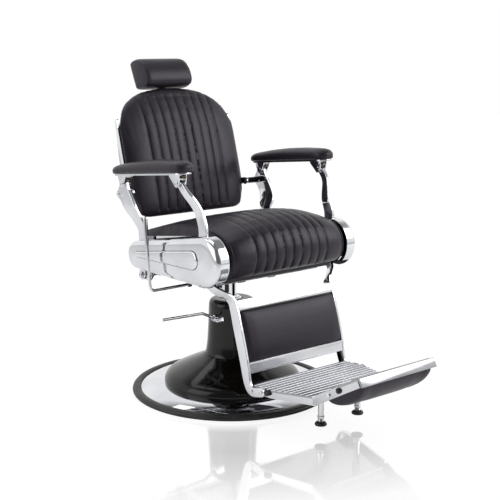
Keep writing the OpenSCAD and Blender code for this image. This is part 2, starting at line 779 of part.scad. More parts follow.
module back_rails() color(chrome) both_sides() in_back() {
    yz(back_hw - rail_t, back_hw) polygon([
        [cushion_back + 2, boss_s - 8], [board_back + 4, boss_s - 8],
        [board_back, boss_s + 80], [24, rail_top_s], [19, rail_top_s + 6],
        [cushion_back + 6, rail_top_s + 6], [cushion_back + 2, rail_top_s]]);
    // the ear beside the cushion that the post's branch is bolted to
    yz(back_hw + 0.5, boss_x) plate_belt([boss_d, boss_s], 13, [cushion_back + 15, boss_s + 6], 12);
    yz(back_hw - 4, boss_x - 0.2) polygon([[cushion_back + 4, boss_s],
        [cushion_back + 20, boss_s], [cushion_back + 20, boss_s + 11], [cushion_back + 4, boss_s + 11]]);
}

// Half width of the backrest at height s, and the reverse
arch_s = 0.605;
function arch_top(x, h, hw) =
    h * (arch_s + (1 - arch_s) * pow(max(0, 1 - pow(abs(x) / hw, 2.4)), 1 / 2.4));
function arch_foot(x, hw) =
    let (over = max(0, abs(x) - (hw - 60)) / 60) 150 * (1 - sqrt(max(0, 1 - pow(over, 3.2))));

module back_outline(h, hw, foot, drop) {
    xs = [for (k = [-12 : 12]) hw * sin(k * 7.5)];
    polygon(concat([for (x = xs) [x, foot + arch_foot(x, hw)]],
        [for (i = [24 : -1 : 0]) [xs[i], arch_top(xs[i], h, back_hw) - drop]]));
}

module back_board() color(gloss_black) in_back() {
    translate([0, cushion_back + seat_gap, 0]) rotate([90, 0, 0]) mirror([0, 0, 1])
        linear_extrude(board_t - 6) back_outline(back_h, board_hw, 12, wrap_h + 6);
    translate([0, board_back - 6, 0]) rotate([90, 0, 0]) mirror([0, 0, 1])
        linear_extrude(6) back_outline(back_h, board_hw - 8, 20, wrap_h + 10);
}

// How far back the cushion wraps over the top of the board, fading out towards the rails
function wrap_back(x) = let (f = min(1, max(0, (back_hw - rail_t - 2 - abs(x)) / 40)))
    cushion_back + 0.2 + (board_back - cushion_back - 0.2) * f * f * (3 - 2 * f);

function back_ring(x) =
    let (f = abs(x) / back_hw, g = min(f, 0.985) * back_hw, top = arch_top(g, back_h, back_hw),
        foot = arch_foot(g, back_hw), mid = (top + foot) / 2, half = (top - foot) / 2,
        side = pow(1 - pow(f, 4), 0.5) * (1 - 0.25 * f * f))
    concat([for (k = [0 : 12])
        let (c = power(-cos(k * 15), 0.8), s = mid + half * c,
            curl = 28 * pow(max(0, (s / back_h - 0.62) / 0.38), 1.6),
            edge = pow(1 - pow(abs(c), 3), 0.5))
        [x, 2 + curl - (back_crown * side - seam_dip(x)) * edge, s]],
        [[x, wrap_back(x), top - 9], [x, wrap_back(x), top - wrap_h],
            [x, cushion_back, top - wrap_h], [x, cushion_back, mid],
            [x, cushion_back, foot + 4]]);

module back_cushion() color(leather) in_back()
    loft([for (x = stations(back_hw)) back_ring(x)]);

module headrest_socket() color(chrome) in_back() difference() {
    translate([-stem_w / 2 - 9, board_back, clamp_s - 35]) cube([stem_w + 18, 26, 70]);
    translate([-stem_w / 2 - 0.1, stem_d - stem_t / 2 - 0.1, clamp_s - 45])
        cube([stem_w + 0.2, stem_t + 0.2, 90]);
    translate([0, stem_d, clamp_s]) rotate([-90, 0, 0]) cylinder(h = 40, r = 5.1);
}

module headrest_knob() color(gloss_black) in_back()
    translate([0, stem_d + stem_t / 2 + seat_gap, clamp_s]) rotate([-90, 0, 0]) {
        cylinder(h = 24, r = 5);
        translate([0, 0, 12]) rotate_extrude() difference() {
            square([18, 16]);
            translate([21, 8]) circle(6);
        }
    }

// ---------------------------------------------------------------- headrest

module headrest_stem() color(chrome) in_back() difference() {
    union() {
        yz(-stem_w / 2, stem_w / 2) wall([
            [stem_d, clamp_s - 125], [stem_d, clamp_s - 35], [stem_d, clamp_s + 40], [stem_d, back_h - 26],
            [stem_d + 4, back_h - 12], [stem_d + 18, back_h - 2],
            [head_hinge[0] - 19, head_hinge[1] - 58], [head_hinge[0] - 8, head_hinge[1] - 46],
            [head_hinge[0] - 4, head_hinge[1] - 28], [head_hinge[0], head_hinge[1] - 4]],
            stem_t, 5);
        bar_x(-stem_w / 2, stem_w / 2, 9, head_hinge);
    }
    bar_x(-stem_w, stem_w, 4 + fit_gap, head_hinge);
}

// Places children at the headrest's hinge, with y pointing back and z up the pillow's rear face
module in_head() {
    in_back() translate([0, head_hinge[0], head_hinge[1]]) rotate([-head_lean, 0, 0]) children();
}

module headrest_bracket() color(chrome) in_head() {
    translate([-bracket_hw, -head_set, -50]) cube([2 * bracket_hw, 4, 62]);
    both_sides() difference() {
        yz(stem_w / 2 + 0.4, stem_w / 2 + 5) {
            circle(9);
            translate([3.9 - head_set, -9]) square([head_set - 3.9, 18]);
        }
        bar_x(0, 60, 4.02, [0, 0]);
    }
    bar_x(-stem_w / 2 - 7, stem_w / 2 + 7, 4, [0, 0]);
}

// The pillow's outline, as [forward of its rear face, up from its middle]
head_profile = [[0, -48], [24, -58], [49, -64], [77, -62], [88, -50], [92, -32], [91, -12],
    [83, 14], [71, 32], [55, 43], [38, 49], [20, 52], [3, 49], [0, 20]];
module headrest_cushion() color(leather) in_head() loft([
    for (f = [-1, -0.98, -0.93, -0.8, -0.4, 0.4, 0.8, 0.93, 0.98, 1])
        let (k = 1 - 0.1 * pow(abs(f), 24), mid = [46, -6])
        [for (q = head_profile) let (p = mid + (q - mid) * k)
            [f * head_w / 2, -head_set - seat_gap - p[0], p[1]]]]);

// ---------------------------------------------------------------- arms

pad_front = arm_run + 50;
pad_rear = 42;

module arm_pad_left() color(leather) in_arm() loft([
    for (f = [-0.998, -0.985, -0.95, -0.89, -0.79, -0.4, 0, 0.4, 0.79, 0.89, 0.95, 0.985, 0.998])
        let (u = max(0, (abs(f) - 0.79) / 0.21), w = pow(1 - pow(u, 2.3), 1 / 2.3),
            t = pad_t * 1.08 * (1 - 0.26 * pow(f - 0.2, 2)) * (1 - 0.4 * pow(u, 3)))
        [for (i = [0 : 13]) let (a = i * 360 / 14 + 12.86)
            [pad_w / 2 * w * power(cos(a), 0.75),
                pad_rear - (pad_front + pad_rear) * (f + 1) / 2,
                pad_lift + seat_gap + t * max(0, 0.32 + 0.68 * power(sin(a), 0.8))]]]);
module arm_pad_right() right_side() arm_pad_left();

// One side of a pad's bracket, with how far it reaches ahead of and behind its pin
module cheek(ahead, behind) {
    polygon([[-ahead, pad_lift - 5], [behind, pad_lift - 5], [behind, pad_lift - 10], [11, -5],
        [-11, -5], [-ahead, pad_lift - 10]]);
    circle(12);
}

module arm_plate_left() color(chrome) in_arm() difference() {
    union() {
        translate([0, 0, pad_lift - 5]) linear_extrude(5)
            belt([0, pad_rear - 36], pad_w / 2 - 10, [0, 36 - pad_front], pad_w / 2 - 10.001);
        for (y = [0, -arm_run]) translate([0, y, 0]) {
            for (x = [-cheek_x - cheek_t, cheek_x]) yz(x, x + cheek_t)
                cheek(y == 0 ? 28 : 18, y == 0 ? 20 : 36);
        }
    }
    for (y = [0, -arm_run]) bar_x(-40, 40, arm_pin_d / 2 + 0.02, [y, 0]);
}
module arm_plate_right() right_side() arm_plate_left();

module arm_pins_left() color(steel) in_arm() for (y = [0, -arm_run]) {
    bar_x(-cheek_x - cheek_t, cheek_x + cheek_t, arm_pin_d / 2, [y, 0]);
    for (x = [-cheek_x - cheek_t - 3, cheek_x + cheek_t])
        bar_x(x, x + 3, pin_head_r, [y, 0]);
    for (x = [-cheek_x, post_t / 2 + spacer_gap])
        bar_x(x, x + cheek_x - post_t / 2 - spacer_gap, 8, [y, 0]);
}
module arm_pins_right() right_side() arm_pins_left();

module front_post_left() color(chrome) difference() {
    post(post_pivot, front_pin, front_bow, front_shape, front_step);
    bar_x(200, 340, pin_r + fit_gap, post_pivot);
    bar_x(200, 340, arm_pin_d / 2 + open_pivot_gap, front_pin);
}
module front_post_right() right_side() front_post_left();

// ---------------------------------------------------------------- leg rest

// Centre line of a leg bar: each entry is [share of the reach, share of the drop, half width]
leg_shape = [[0, 0, 15], [0.16, 0.07, 15], [0.37, 0.19, 17.5], [0.56, 0.44, 20],
    [0.735, 0.70, 19], [0.822, 0.87, 16.5]];
leg_toe = [[18, 17, 15.5], [9, 5, 15], [-3, -1, 14.6], [-20, 1, 14.6], [-48, 8, 14.6]];
leg_path = concat([for (s = leg_shape)
    [leg_pivot[0] - s[0] * leg_reach, leg_pivot[1] - s[1] * leg_drop, s[2]]],
    [for (t = leg_toe) [heel[0] + t[0], heel[1] + t[1], t[2]]]);
leg_run = smooth(leg_path, 8);
// Where a leg bar steps inwards from the side frame: [x, drop below the pivot]
leg_bar_x = leg_x + leg_t / 2;
leg_step = [[ear_x, 60], [ear_x, 0], [ear_x - 1, -12], [ear_x - 9, -23],
    [(ear_x + leg_bar_x) / 2, -35], [leg_bar_x + 9, -47], [leg_bar_x + 1, -59],
    [leg_bar_x, -72], [leg_bar_x, -140], [leg_bar_x, -400]];

module leg_bar_left() color(chrome) difference() {
    intersection() {
        yz(leg_x - 10, ear_x + 20) strip(leg_path, 8, true);
        xz(heel[0] - 120, leg_pivot[0] + 60)
            strip([for (s = leg_step) [s[0], leg_pivot[1] + s[1], leg_t / 2]], 5);
    }
    bar_x(100, 300, pin_r + fit_gap, leg_pivot);
    for (c = [heel, toe_bolt]) bar_x(100, 300, bolt_r + 0.1, c);
}
module leg_bar_right() right_side() leg_bar_left();

// The point at station i of a leg bar, inset from its front edge
function on_leg(i, inset) =
    let (t = heading(leg_run, i), w = leg_run[i][2] - inset)
    [leg_run[i][0] + w * t[1], leg_run[i][1] - w * t[0]];

// A sheet of half width hw between the leg bars that follows their front edges from
// station a to station b
module leg_sheet(hw, a, b, inset, t) {
    yz(-hw, hw) polygon(concat([for (i = [a : b]) on_leg(i, inset)],
        [for (i = [b : -1 : a]) on_leg(i, inset + t)]));
}

module leg_crossbars() color(brushed) {
    leg_sheet(leg_x - 0.1, 16, 19, 0, 6);
    leg_sheet(leg_x - 0.1, 34, 39, 0, 6);
}
module calf_board() color(gloss_black) leg_sheet(leg_x - 0.5, 17, 38, 6, 7);

panel_head = on_leg(19, 6 - seat_gap);
panel_foot = on_leg(34, 6 - seat_gap);
panel_h = norm(panel_foot - panel_head);
panel_down = (panel_foot - panel_head) / panel_h;
panel_out = [panel_down[1], -panel_down[0]];
module calf_panel() color(leather) loft([
    for (f = [-1, -0.99, -0.95, -0.8, -0.45, 0, 0.45, 0.8, 0.95, 0.99, 1])
        let (side = pow(1 - pow(abs(f), 8), 0.5))
        [for (q = concat([for (k = [0 : 10]) [-cos(k * 18), 1]], [[1, 0], [0.4, 0], [-0.4, 0], [-1, 0]]))
            let (c = q[0], rise = 4 + 13 * side * pow(1 - pow(abs(c), 4), 0.5),
                belly = 5.4 * (1 - c * c),
                p = panel_head + panel_down * (panel_h / 2 + c * (panel_h / 2 - 0.5))
                    + panel_out * (belly + q[1] * rise))
            [f * (leg_x - 0.5), p[0], p[1]]]]);

// Half width of the tread at a distance in front of its rear edge, seen from above
tread_plan = [[leg_x, 0], [leg_x, kink_y - foot_edge[0]], [flap_hw, -tread_len]];
module tread_outline() polygon(concat(tread_plan, [for (i = [2 : -1 : 0])
    [-tread_plan[i][0], tread_plan[i][1]]]));

// Rounded ribs across a tread, from y0 forward to y1
module ribs(hw, y0, y1) {
    count = floor((y0 - y1 - 12) / rib_pitch);
    for (k = [0 : count]) intersection() {
        bar_x(-hw, hw, 2 * rib_h, [y0 - 6 - k * (y0 - y1 - 12) / count, -rib_h]);
        translate([-hw, y1, -tread_t / 2]) cube([2 * hw, y0 - y1, rib_h + tread_t]);
    }
}

module footplate() color(brushed) {
    in_foot() intersection() {
        translate([0, 0, -tread_t]) linear_extrude(tread_t + rib_h) tread_outline();
        union() {
            translate([-leg_x, -tread_len, -tread_t]) cube([2 * leg_x, tread_len, tread_t]);
            ribs(leg_x, 0, -tread_len);
        }
    }
    for (s = [-1, 1]) difference() {
        translate([s * feet_gap / 2, foot_boss_y, boss_foot_z])
            cylinder(h = boss_top_z - boss_foot_z, r = foot_boss_r);
        translate([s * feet_gap / 2, foot_boss_y, boss_foot_z - 1])
            cylinder(h = boss_top_z - boss_foot_z - 1, r = stem_r + fit_gap);
    }
}
boss_top_z = foot_edge[1] + (foot_edge[0] - foot_boss_y) * tan(foot_tilt) - tread_t + 1;
boss_foot_z = boss_top_z - 21;
foot_grip = 11;

module foot_rails() color(brushed) both_sides() difference() {
    intersection() {
        translate([0, 0, -400]) linear_extrude(1200) {
            polygon([[leg_x - side_t, 0], [leg_x - side_t, kink_y],
                [flap_hw - side_t, foot_edge[0] - tread_len], [flap_hw - side_t, -1200],
                [flap_hw, -1200], [flap_hw, foot_edge[0] - tread_len], [leg_x, kink_y],
                [leg_x, 0]]);
        }
        union() {
            in_foot() yz(140, leg_x + 10) polygon([[16, -tread_t], [-tread_len, -tread_t],
                [-tread_len, 0], [-tread_len - 3, 0], [-tread_len - 7, -strip_h], [16, -strip_h + 4]]);
            in_flap() yz(140, leg_x + 10) polygon([[0, 0], [flap_pivot[0] - wing_run + 1.4, 0],
                [flap_pivot[0] - wing_run + 1.4, -tread_t - seat_gap],
                [10 - flap_len, -tread_t - seat_gap], [10 - flap_len, -strip_h], [0, -strip_h]]);
        }
    }
    for (c = [heel, toe_bolt]) bar_x(100, 300, bolt_r + 0.1, c);
    in_flap() bar_x(100, 300, bolt_r + 0.02, flap_pivot);
}

module foot_bolts() color(steel) both_sides() {
    for (c = [heel, toe_bolt]) {
        bar_x(leg_x - side_t - 4, leg_x + leg_t + 3, bolt_r, c);
        bar_x(leg_x + leg_t, leg_x + leg_t + 3, 7, c);
        bar_x(leg_x - side_t - 4, leg_x - side_t, 7, c);
    }
    in_flap() {
        bar_x(ear_in - 3, flap_hw + 3, bolt_r, flap_pivot);
        bar_x(ear_in - 3, ear_in - 0.3, 7, flap_pivot);
        bar_x(flap_hw, flap_hw + 3, 7, flap_pivot);
    }
}

toe_c = toe_bolt + [-26, 5];
module foot_bumpers() color(rubber) both_sides() {
    bar_x(leg_x, leg_x + 12, 8, toe_c);
    bar_x(leg_x + 3, leg_x + 9, 9.5, toe_c);
    in_flap() {
        bar_x(flap_hw, flap_hw + 5, 9, flap_pivot + [-52, 1]);
        bar_x(flap_hw, flap_hw + 8, 6, flap_pivot + [-52, 1]);
    }
}

module levelling_foot_left() color(rubber) translate([feet_gap / 2, foot_boss_y, foot_z]) {
    rotate_extrude() polygon([[0, 0], [17, 0], [19, 2], [19, 6], [16, 9], [11, 12], [0, 12]]);
    translate([0, 0, 10]) cylinder(h = 6, r = stem_r + 2);
    translate([0, 0, 10]) cylinder(h = boss_foot_z + foot_grip - foot_z - 10, r = stem_r);
}
module levelling_foot_right() right_side() levelling_foot_left();

// ---------------------------------------------------------------- foot flap

flap_in = flap_hw - side_t - 0.5;
ear_in = flap_in - 5.5;

module flap_tread() color(brushed) in_flap() {
    translate([-flap_in, 10 - flap_len, -tread_t]) cube([2 * flap_in, flap_len - 10 - flap_gap, tread_t]);
    translate([-flap_hw, 10 - flap_len, -tread_t])
        cube([2 * flap_hw, flap_len - 10 + flap_pivot[0] - wing_run, tread_t]);
    ribs(flap_in, -flap_gap, 12 - flap_len);
    both_sides() difference() {
        yz(ear_in, flap_in) union() {
            translate(flap_pivot) circle(9);
            translate([flap_pivot[0] - 9, flap_pivot[1]]) square([18, -flap_pivot[1] - tread_t / 2]);
        }
        bar_x(100, 300, bolt_r + fit_gap, flap_pivot);
    }
}

module flap_bar() color(brushed) in_flap() {
    yz(-flap_hw, flap_hw) polygon([[-flap_len, -2], [-flap_len + 2, 0], [10 - flap_len, 0],
        [10 - flap_len, -tread_t - 4], [7 - flap_len, -tread_t - 7], [7 - flap_len, -strip_h],
        [4 - flap_len, -strip_h - 3], [-flap_len, -strip_h - 3]]);
}

pad_y0 = -50;
pad_y1 = 10.5 - flap_len;
module flap_pad() color(leather) in_flap() loft([
    for (f = [-1, -0.985, -0.93, -0.8, -0.45, 0, 0.45, 0.8, 0.93, 0.985, 1])
        let (side = pow(1 - pow(abs(f), 6), 0.5))
        [for (q = concat([for (k = [0 : 10]) [-cos(k * 18), 1]], [[1, 0], [-1, 0]]))
            let (c = q[0], mid = (pad_y0 + pad_y1) / 2, half = (pad_y0 - pad_y1) / 2,
                rise = 14 + 36 * side * pow(1 - pow(abs(c), 2.6), 0.6))
            [f * (ear_in - 4), mid - c * half, -tread_t - seat_gap - q[1] * rise]]]);

// ---------------------------------------------------------------- drawing

base_rim();
base_disc();
base_bell();
base_socket();
base_screws();
pump_shroud();
pump_cylinder();
ram_gland();
lever_fulcrum();
pump_lever();
lift_ram();
top_plate();
seat_rails();
crossmembers();
seat_pan();
seat_cushion();
side_frame_left();
side_frame_right();
side_cover_left();
side_cover_right();
pivot_pins();
recline_cylinder();
recline_rod();
lever_bracket();
recline_lever();
recline_grip();
recline_shaft();
rear_post_left();
rear_post_right();
back_rails();
back_bosses();
back_board();
back_cushion();
headrest_socket();
headrest_knob();
headrest_stem();
headrest_bracket();
headrest_cushion();
arm_pad_left();
arm_pad_right();
arm_plate_left();
arm_plate_right();
arm_pins_left();
arm_pins_right();
front_post_left();
front_post_right();
leg_bar_left();
leg_bar_right();
leg_crossbars();
calf_board();
calf_panel();
footplate();
foot_rails();
foot_bolts();
foot_bumpers();
levelling_foot_left();
levelling_foot_right();
flap_tread();
flap_bar();
flap_pad();
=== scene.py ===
"""Hydraulic barber chair: upholstery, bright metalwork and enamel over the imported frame."""
import json
import math

import bmesh
import bpy
from mathutils import Matrix, Vector
from mathutils.bvhtree import BVHTree


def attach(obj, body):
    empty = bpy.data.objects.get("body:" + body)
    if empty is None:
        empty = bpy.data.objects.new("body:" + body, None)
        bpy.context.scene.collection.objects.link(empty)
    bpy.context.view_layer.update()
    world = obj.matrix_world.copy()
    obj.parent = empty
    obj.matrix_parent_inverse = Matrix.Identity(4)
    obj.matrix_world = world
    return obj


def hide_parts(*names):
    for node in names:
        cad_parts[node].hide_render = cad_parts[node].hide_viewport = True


bl_info = {
    "name": "Barber chair",
    "version": (1, 0, 0),
    "blender": (4, 5, 0),
    "location": "3D View > Sidebar > Barber chair",
    "description": "Upholsters and finishes a hydraulic barber chair, piece by piece",
    "category": "Object",
}

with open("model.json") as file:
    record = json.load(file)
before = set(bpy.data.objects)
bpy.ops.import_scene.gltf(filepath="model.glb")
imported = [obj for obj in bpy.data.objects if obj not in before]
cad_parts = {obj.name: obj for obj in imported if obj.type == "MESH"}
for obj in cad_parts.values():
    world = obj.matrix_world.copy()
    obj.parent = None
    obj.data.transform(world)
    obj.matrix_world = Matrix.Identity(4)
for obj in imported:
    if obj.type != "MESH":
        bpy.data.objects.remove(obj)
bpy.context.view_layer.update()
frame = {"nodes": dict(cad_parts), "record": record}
MM = 0.001


# ---------------------------------------------------------------- modelling tools

def deselect():
    if bpy.context.object and bpy.context.object.mode != "OBJECT":
        bpy.ops.object.mode_set(mode="OBJECT")
    bpy.ops.object.select_all(action="DESELECT")


def activate(piece):
    deselect()
    piece.select_set(True)
    bpy.context.view_layer.objects.active = piece


def named(name):
    """Names the object that an operator has just added, and its mesh."""
    piece = bpy.context.object
    piece.name = piece.data.name = name
    return piece


def place(piece):
    """Puts the piece's own turn, scale and place into its mesh."""
    activate(piece)
    bpy.ops.object.transform_apply(location=True, rotation=True, scale=True)
    return piece


def smooth(piece, degrees=35):
    activate(piece)
    bpy.ops.object.shade_smooth_by_angle(angle=math.radians(degrees))
    return piece


def add_modifier(piece, kind, **settings):
    activate(piece)
    modifier = piece.modifiers.new(kind.lower(), kind)
    for key, value in settings.items():
        setattr(modifier, key, value)
    return modifier


def apply_modifier(piece, kind, **settings):
    modifier = add_modifier(piece, kind, **settings)
    bpy.ops.object.modifier_apply(modifier=modifier.name)
    return piece


def pick(piece, test, kind="verts"):
    """Selects, in edit mode, the vertices, edges or faces that pass a test on their place."""
    bm = bmesh.from_edit_mesh(piece.data)
    for group in (bm.verts, bm.edges, bm.faces):
        for item in group:
            item.select_set(False)
    for item in getattr(bm, kind):
        if test(item):
            item.select_set(True)
    bm.select_flush_mode()
    bmesh.update_edit_mesh(piece.data)


def edit_all():
    """Enters edit mode with everything selected."""
    bpy.ops.object.mode_set(mode="EDIT")
    bpy.ops.mesh.select_all(action="SELECT")


def leave_edit():
    bpy.ops.object.mode_set(mode="OBJECT")


def tidy_normals(piece):
    """Merges doubles and turns every face outwards."""
    activate(piece)
    edit_all()
    bpy.ops.mesh.remove_doubles(threshold=1e-5)
    bpy.ops.mesh.normals_make_consistent(inside=False)
    leave_edit()
    return piece


def turned(name, profile, steps=128, centre=(0, 0)):
    """Spins a closed profile of (radius, height) in millimetres about an upright axis."""
    deselect()
    bpy.ops.mesh.primitive_circle_add(vertices=len(profile), radius=0.01)
    piece = named(name)
    for vertex, (r, z) in zip(piece.data.vertices, profile):
        vertex.co = ((centre[0] + r) * MM, centre[1] * MM, z * MM)
    edit_all()
    bpy.ops.mesh.spin(steps=steps, angle=2 * math.pi, use_auto_merge=True,
                      center=(centre[0] * MM, centre[1] * MM, 0), axis=(0, 0, 1))
    leave_edit()
    return tidy_normals(piece)


def drawn_out(name, rings, close=True):
    """Extrudes a ring of points from each section to the next and closes both ends."""
    deselect()
    bpy.ops.mesh.primitive_circle_add(vertices=len(rings[0]), radius=0.01)
    piece = named(name)
    for vertex, point in zip(piece.data.vertices, rings[0]):
        vertex.co = Vector(point) * MM
    edit_all()
    if close:
        bpy.ops.mesh.extrude_region_move()
        bpy.ops.mesh.merge(type="CENTER")
        pick(piece, lambda v: len(v.link_edges) < 4)
    for ring, points in zip(rings, rings[1:]):
        bpy.ops.mesh.extrude_region_move()
        bm = bmesh.from_edit_mesh(piece.data)
        new = {tuple(round(c, 7) for c in v.co): v for v in bm.verts if v.select}
        for old, point in zip(ring, points):
            key = tuple(round(c, 7) for c in Vector(old) * MM)
            new[key].co = Vector(point) * MM
        bmesh.update_edit_mesh(piece.data)
    if close:
        bpy.ops.mesh.extrude_region_move()
        bpy.ops.mesh.merge(type="CENTER")
    leave_edit()
    return tidy_normals(piece)


def rod_along(name, path, radius, sides=10, close=True):
    """A round cord or rod that follows a path of points in millimetres."""
    rings = []
    last = len(path) - 1
    up = Vector((1, 0, 0))
    for i, point in enumerate(path):
        along = (Vector(path[min(i + 1, last)]) - Vector(path[max(i - 1, 0)])).normalized()
        side = along.cross(up)
        side = side.normalized() if side.length > 0.1 else along.orthogonal().normalized()
        up = side.cross(along).normalized()
        rings.append([Vector(point) + radius * (math.cos(a) * side + math.sin(a) * up)
                      for a in (2 * math.pi * k / sides for k in range(sides))])
    return drawn_out(name, rings, close)


def copy_of(node, name):
    """A welded copy of a frame part's mesh, to be worked on."""
    source = frame["nodes"][node]
    piece = bpy.data.objects.new(name, source.data.copy())
    piece.data.name = name
    piece.data.materials.clear()
    bpy.context.scene.collection.objects.link(piece)
    activate(piece)
    if piece.data.has_custom_normals:
        bpy.ops.mesh.customdata_custom_splitnormals_clear()
    edit_all()
    bpy.ops.mesh.remove_doubles(threshold=2e-6)
    leave_edit()
    return piece


def stand_for(piece, node, body, material, more=()):
    """Settles a finished piece: its finish, the part it stands for and the body it rides on."""
    piece.data.materials.clear()
    piece.data.materials.append(material)
    if node:
        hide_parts(node, *more)
    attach(piece, body)
    return piece


def curve_through(points, n=6):
    """Points on a smooth curve through the given ones."""
    out = []
    for i in range(len(points) - 1):
        a, b, c, d = (Vector(points[max(0, min(len(points) - 1, k))]) for k in (i - 1, i, i + 1, i + 2))
        for j in range(n):
            t = j / n
            out.append(0.5 * (2 * b + (c - a) * t + (2 * a - 5 * b + 4 * c - d) * t * t
                              + (3 * b - a - 3 * c + d) * t ** 3))
    out.append(Vector(points[-1]))
    return out


# ---------------------------------------------------------------- placing, as the frame does

def slope(tilt, origin):
    """A frame turned about X by -tilt degrees at a (y, z) origin in millimetres."""
    return Matrix.Translation((0, origin[0], origin[1])) @ Matrix.Rotation(math.radians(-tilt), 4, "X")


BACK = slope(15.9, (222, 607))
HEAD = BACK @ slope(9.3, (107.3, 508))
FOOT = slope(3.4, (-352, 140))
FLAP = FOOT @ slope(25.9, (-231, 0))
ARM_TILT = 5.84
SEAT_Z = 464
PIPING_X = 234.5
PITCH = 37.4


def seam_at(x, pitch=PITCH):
    """Signed distance in millimetres from the nearest of the nine sewn lines."""
    return x - max(-4, min(4, round(x / pitch))) * pitch


# ---------------------------------------------------------------- finishes

def linear(hexes, alpha=1.0):
    """An sRGB hex colour as linear values."""
    parts = [int(hexes[i:i + 2], 16) / 255 for i in (1, 3, 5)]
    return [c / 12.92 if c <= 0.04045 else ((c + 0.055) / 1.055) ** 2.4 for c in parts] + [alpha]


def add_node(tree, kind, values=None, links=None, **settings):
    """Adds a node, sets its sockets and properties, and links its inputs."""
    node = tree.nodes.new(kind)
    for key, value in settings.items():
        setattr(node, key, value)
    for key, value in (values or {}).items():
        node.inputs[key].default_value = value
    for key, socket in (links or {}).items():
        tree.links.new(socket, node.inputs[key])
    return node


def new_finish(name, **values):
    """A material with one Principled shader, its node tree, the shader and Object coordinates."""
    material = bpy.data.materials.new(name)
    material.use_nodes = True
    tree = material.node_tree
    tree.nodes.clear()
    shader = add_node(tree, "ShaderNodeBsdfPrincipled", values)
    add_node(tree, "ShaderNodeOutputMaterial", links={"Surface": shader.outputs[0]})
    place_node = add_node(tree, "ShaderNodeTexCoord")
    return material, tree, shader, place_node.outputs["Object"]


def ramp(tree, source, stops):
    """A colour ramp with the given (position, colour) stops."""
    node = add_node(tree, "ShaderNodeValToRGB", links={"Fac": source})
    elements = node.color_ramp.elements
    while len(elements) > len(stops):
        elements.remove(elements[-1])
    while len(elements) < len(stops):
        elements.new(0.5)
    for element, (position, colour) in zip(elements, stops):
        element.position, element.color = position, colour
    return node.outputs["Color"]


def share_of(value):
    """Limits a value to the range from 0 to 1."""
    return max(0, min(1, value))


def grey(v):
    return (v, v, v, 1)


def bump(tree, shader, height, distance, strength=1.0, before=None):
    links = {"Height": height}
    if before:
        links["Normal"] = before
    node = add_node(tree, "ShaderNodeBump", {"Strength": strength, "Distance": distance}, links)
    tree.links.new(node.outputs[0], shader.inputs["Normal"])
    return node.outputs[0]


def stretched(tree, place_out, scale):
    return add_node(tree, "ShaderNodeMapping", {"Scale": scale}, {"Vector": place_out}).outputs[0]


def noise(tree, place_out, scale, detail, roughness=0.5):
    """The value of a noise texture."""
    return add_node(tree, "ShaderNodeTexNoise", {"Scale": scale, "Detail": detail, "Roughness": roughness},
                    {"Vector": place_out}).outputs["Fac"]


def drive(tree, shader, key, source, stops):
    """Sets a shader's input from a value through a colour ramp."""
    tree.links.new(ramp(tree, source, stops), shader.inputs[key])


def brushed_metal(name, low, high):
    """Brushed aluminium between two colours."""
    m, t, s, p = new_finish(name, Metallic=1.0, Anisotropic=0.35)
    lines = noise(t, stretched(t, p, (3, 330, 330)), 1.0, 4.0, 0.7)
    cloud = noise(t, p, 7.0, 3.0)
    both = add_node(t, "ShaderNodeMix", {"Factor": 0.6},
                    {"A": lines, "B": cloud}).outputs["Result"]
    drive(t, s, "Base Color", both, [(0.3, linear(low)), (0.7, linear(high))])
    drive(t, s, "Roughness", both, [(0.3, grey(0.11)), (0.7, grey(0.19))])
    bump(t, s, lines, 0.00015, 0.15)
    return m


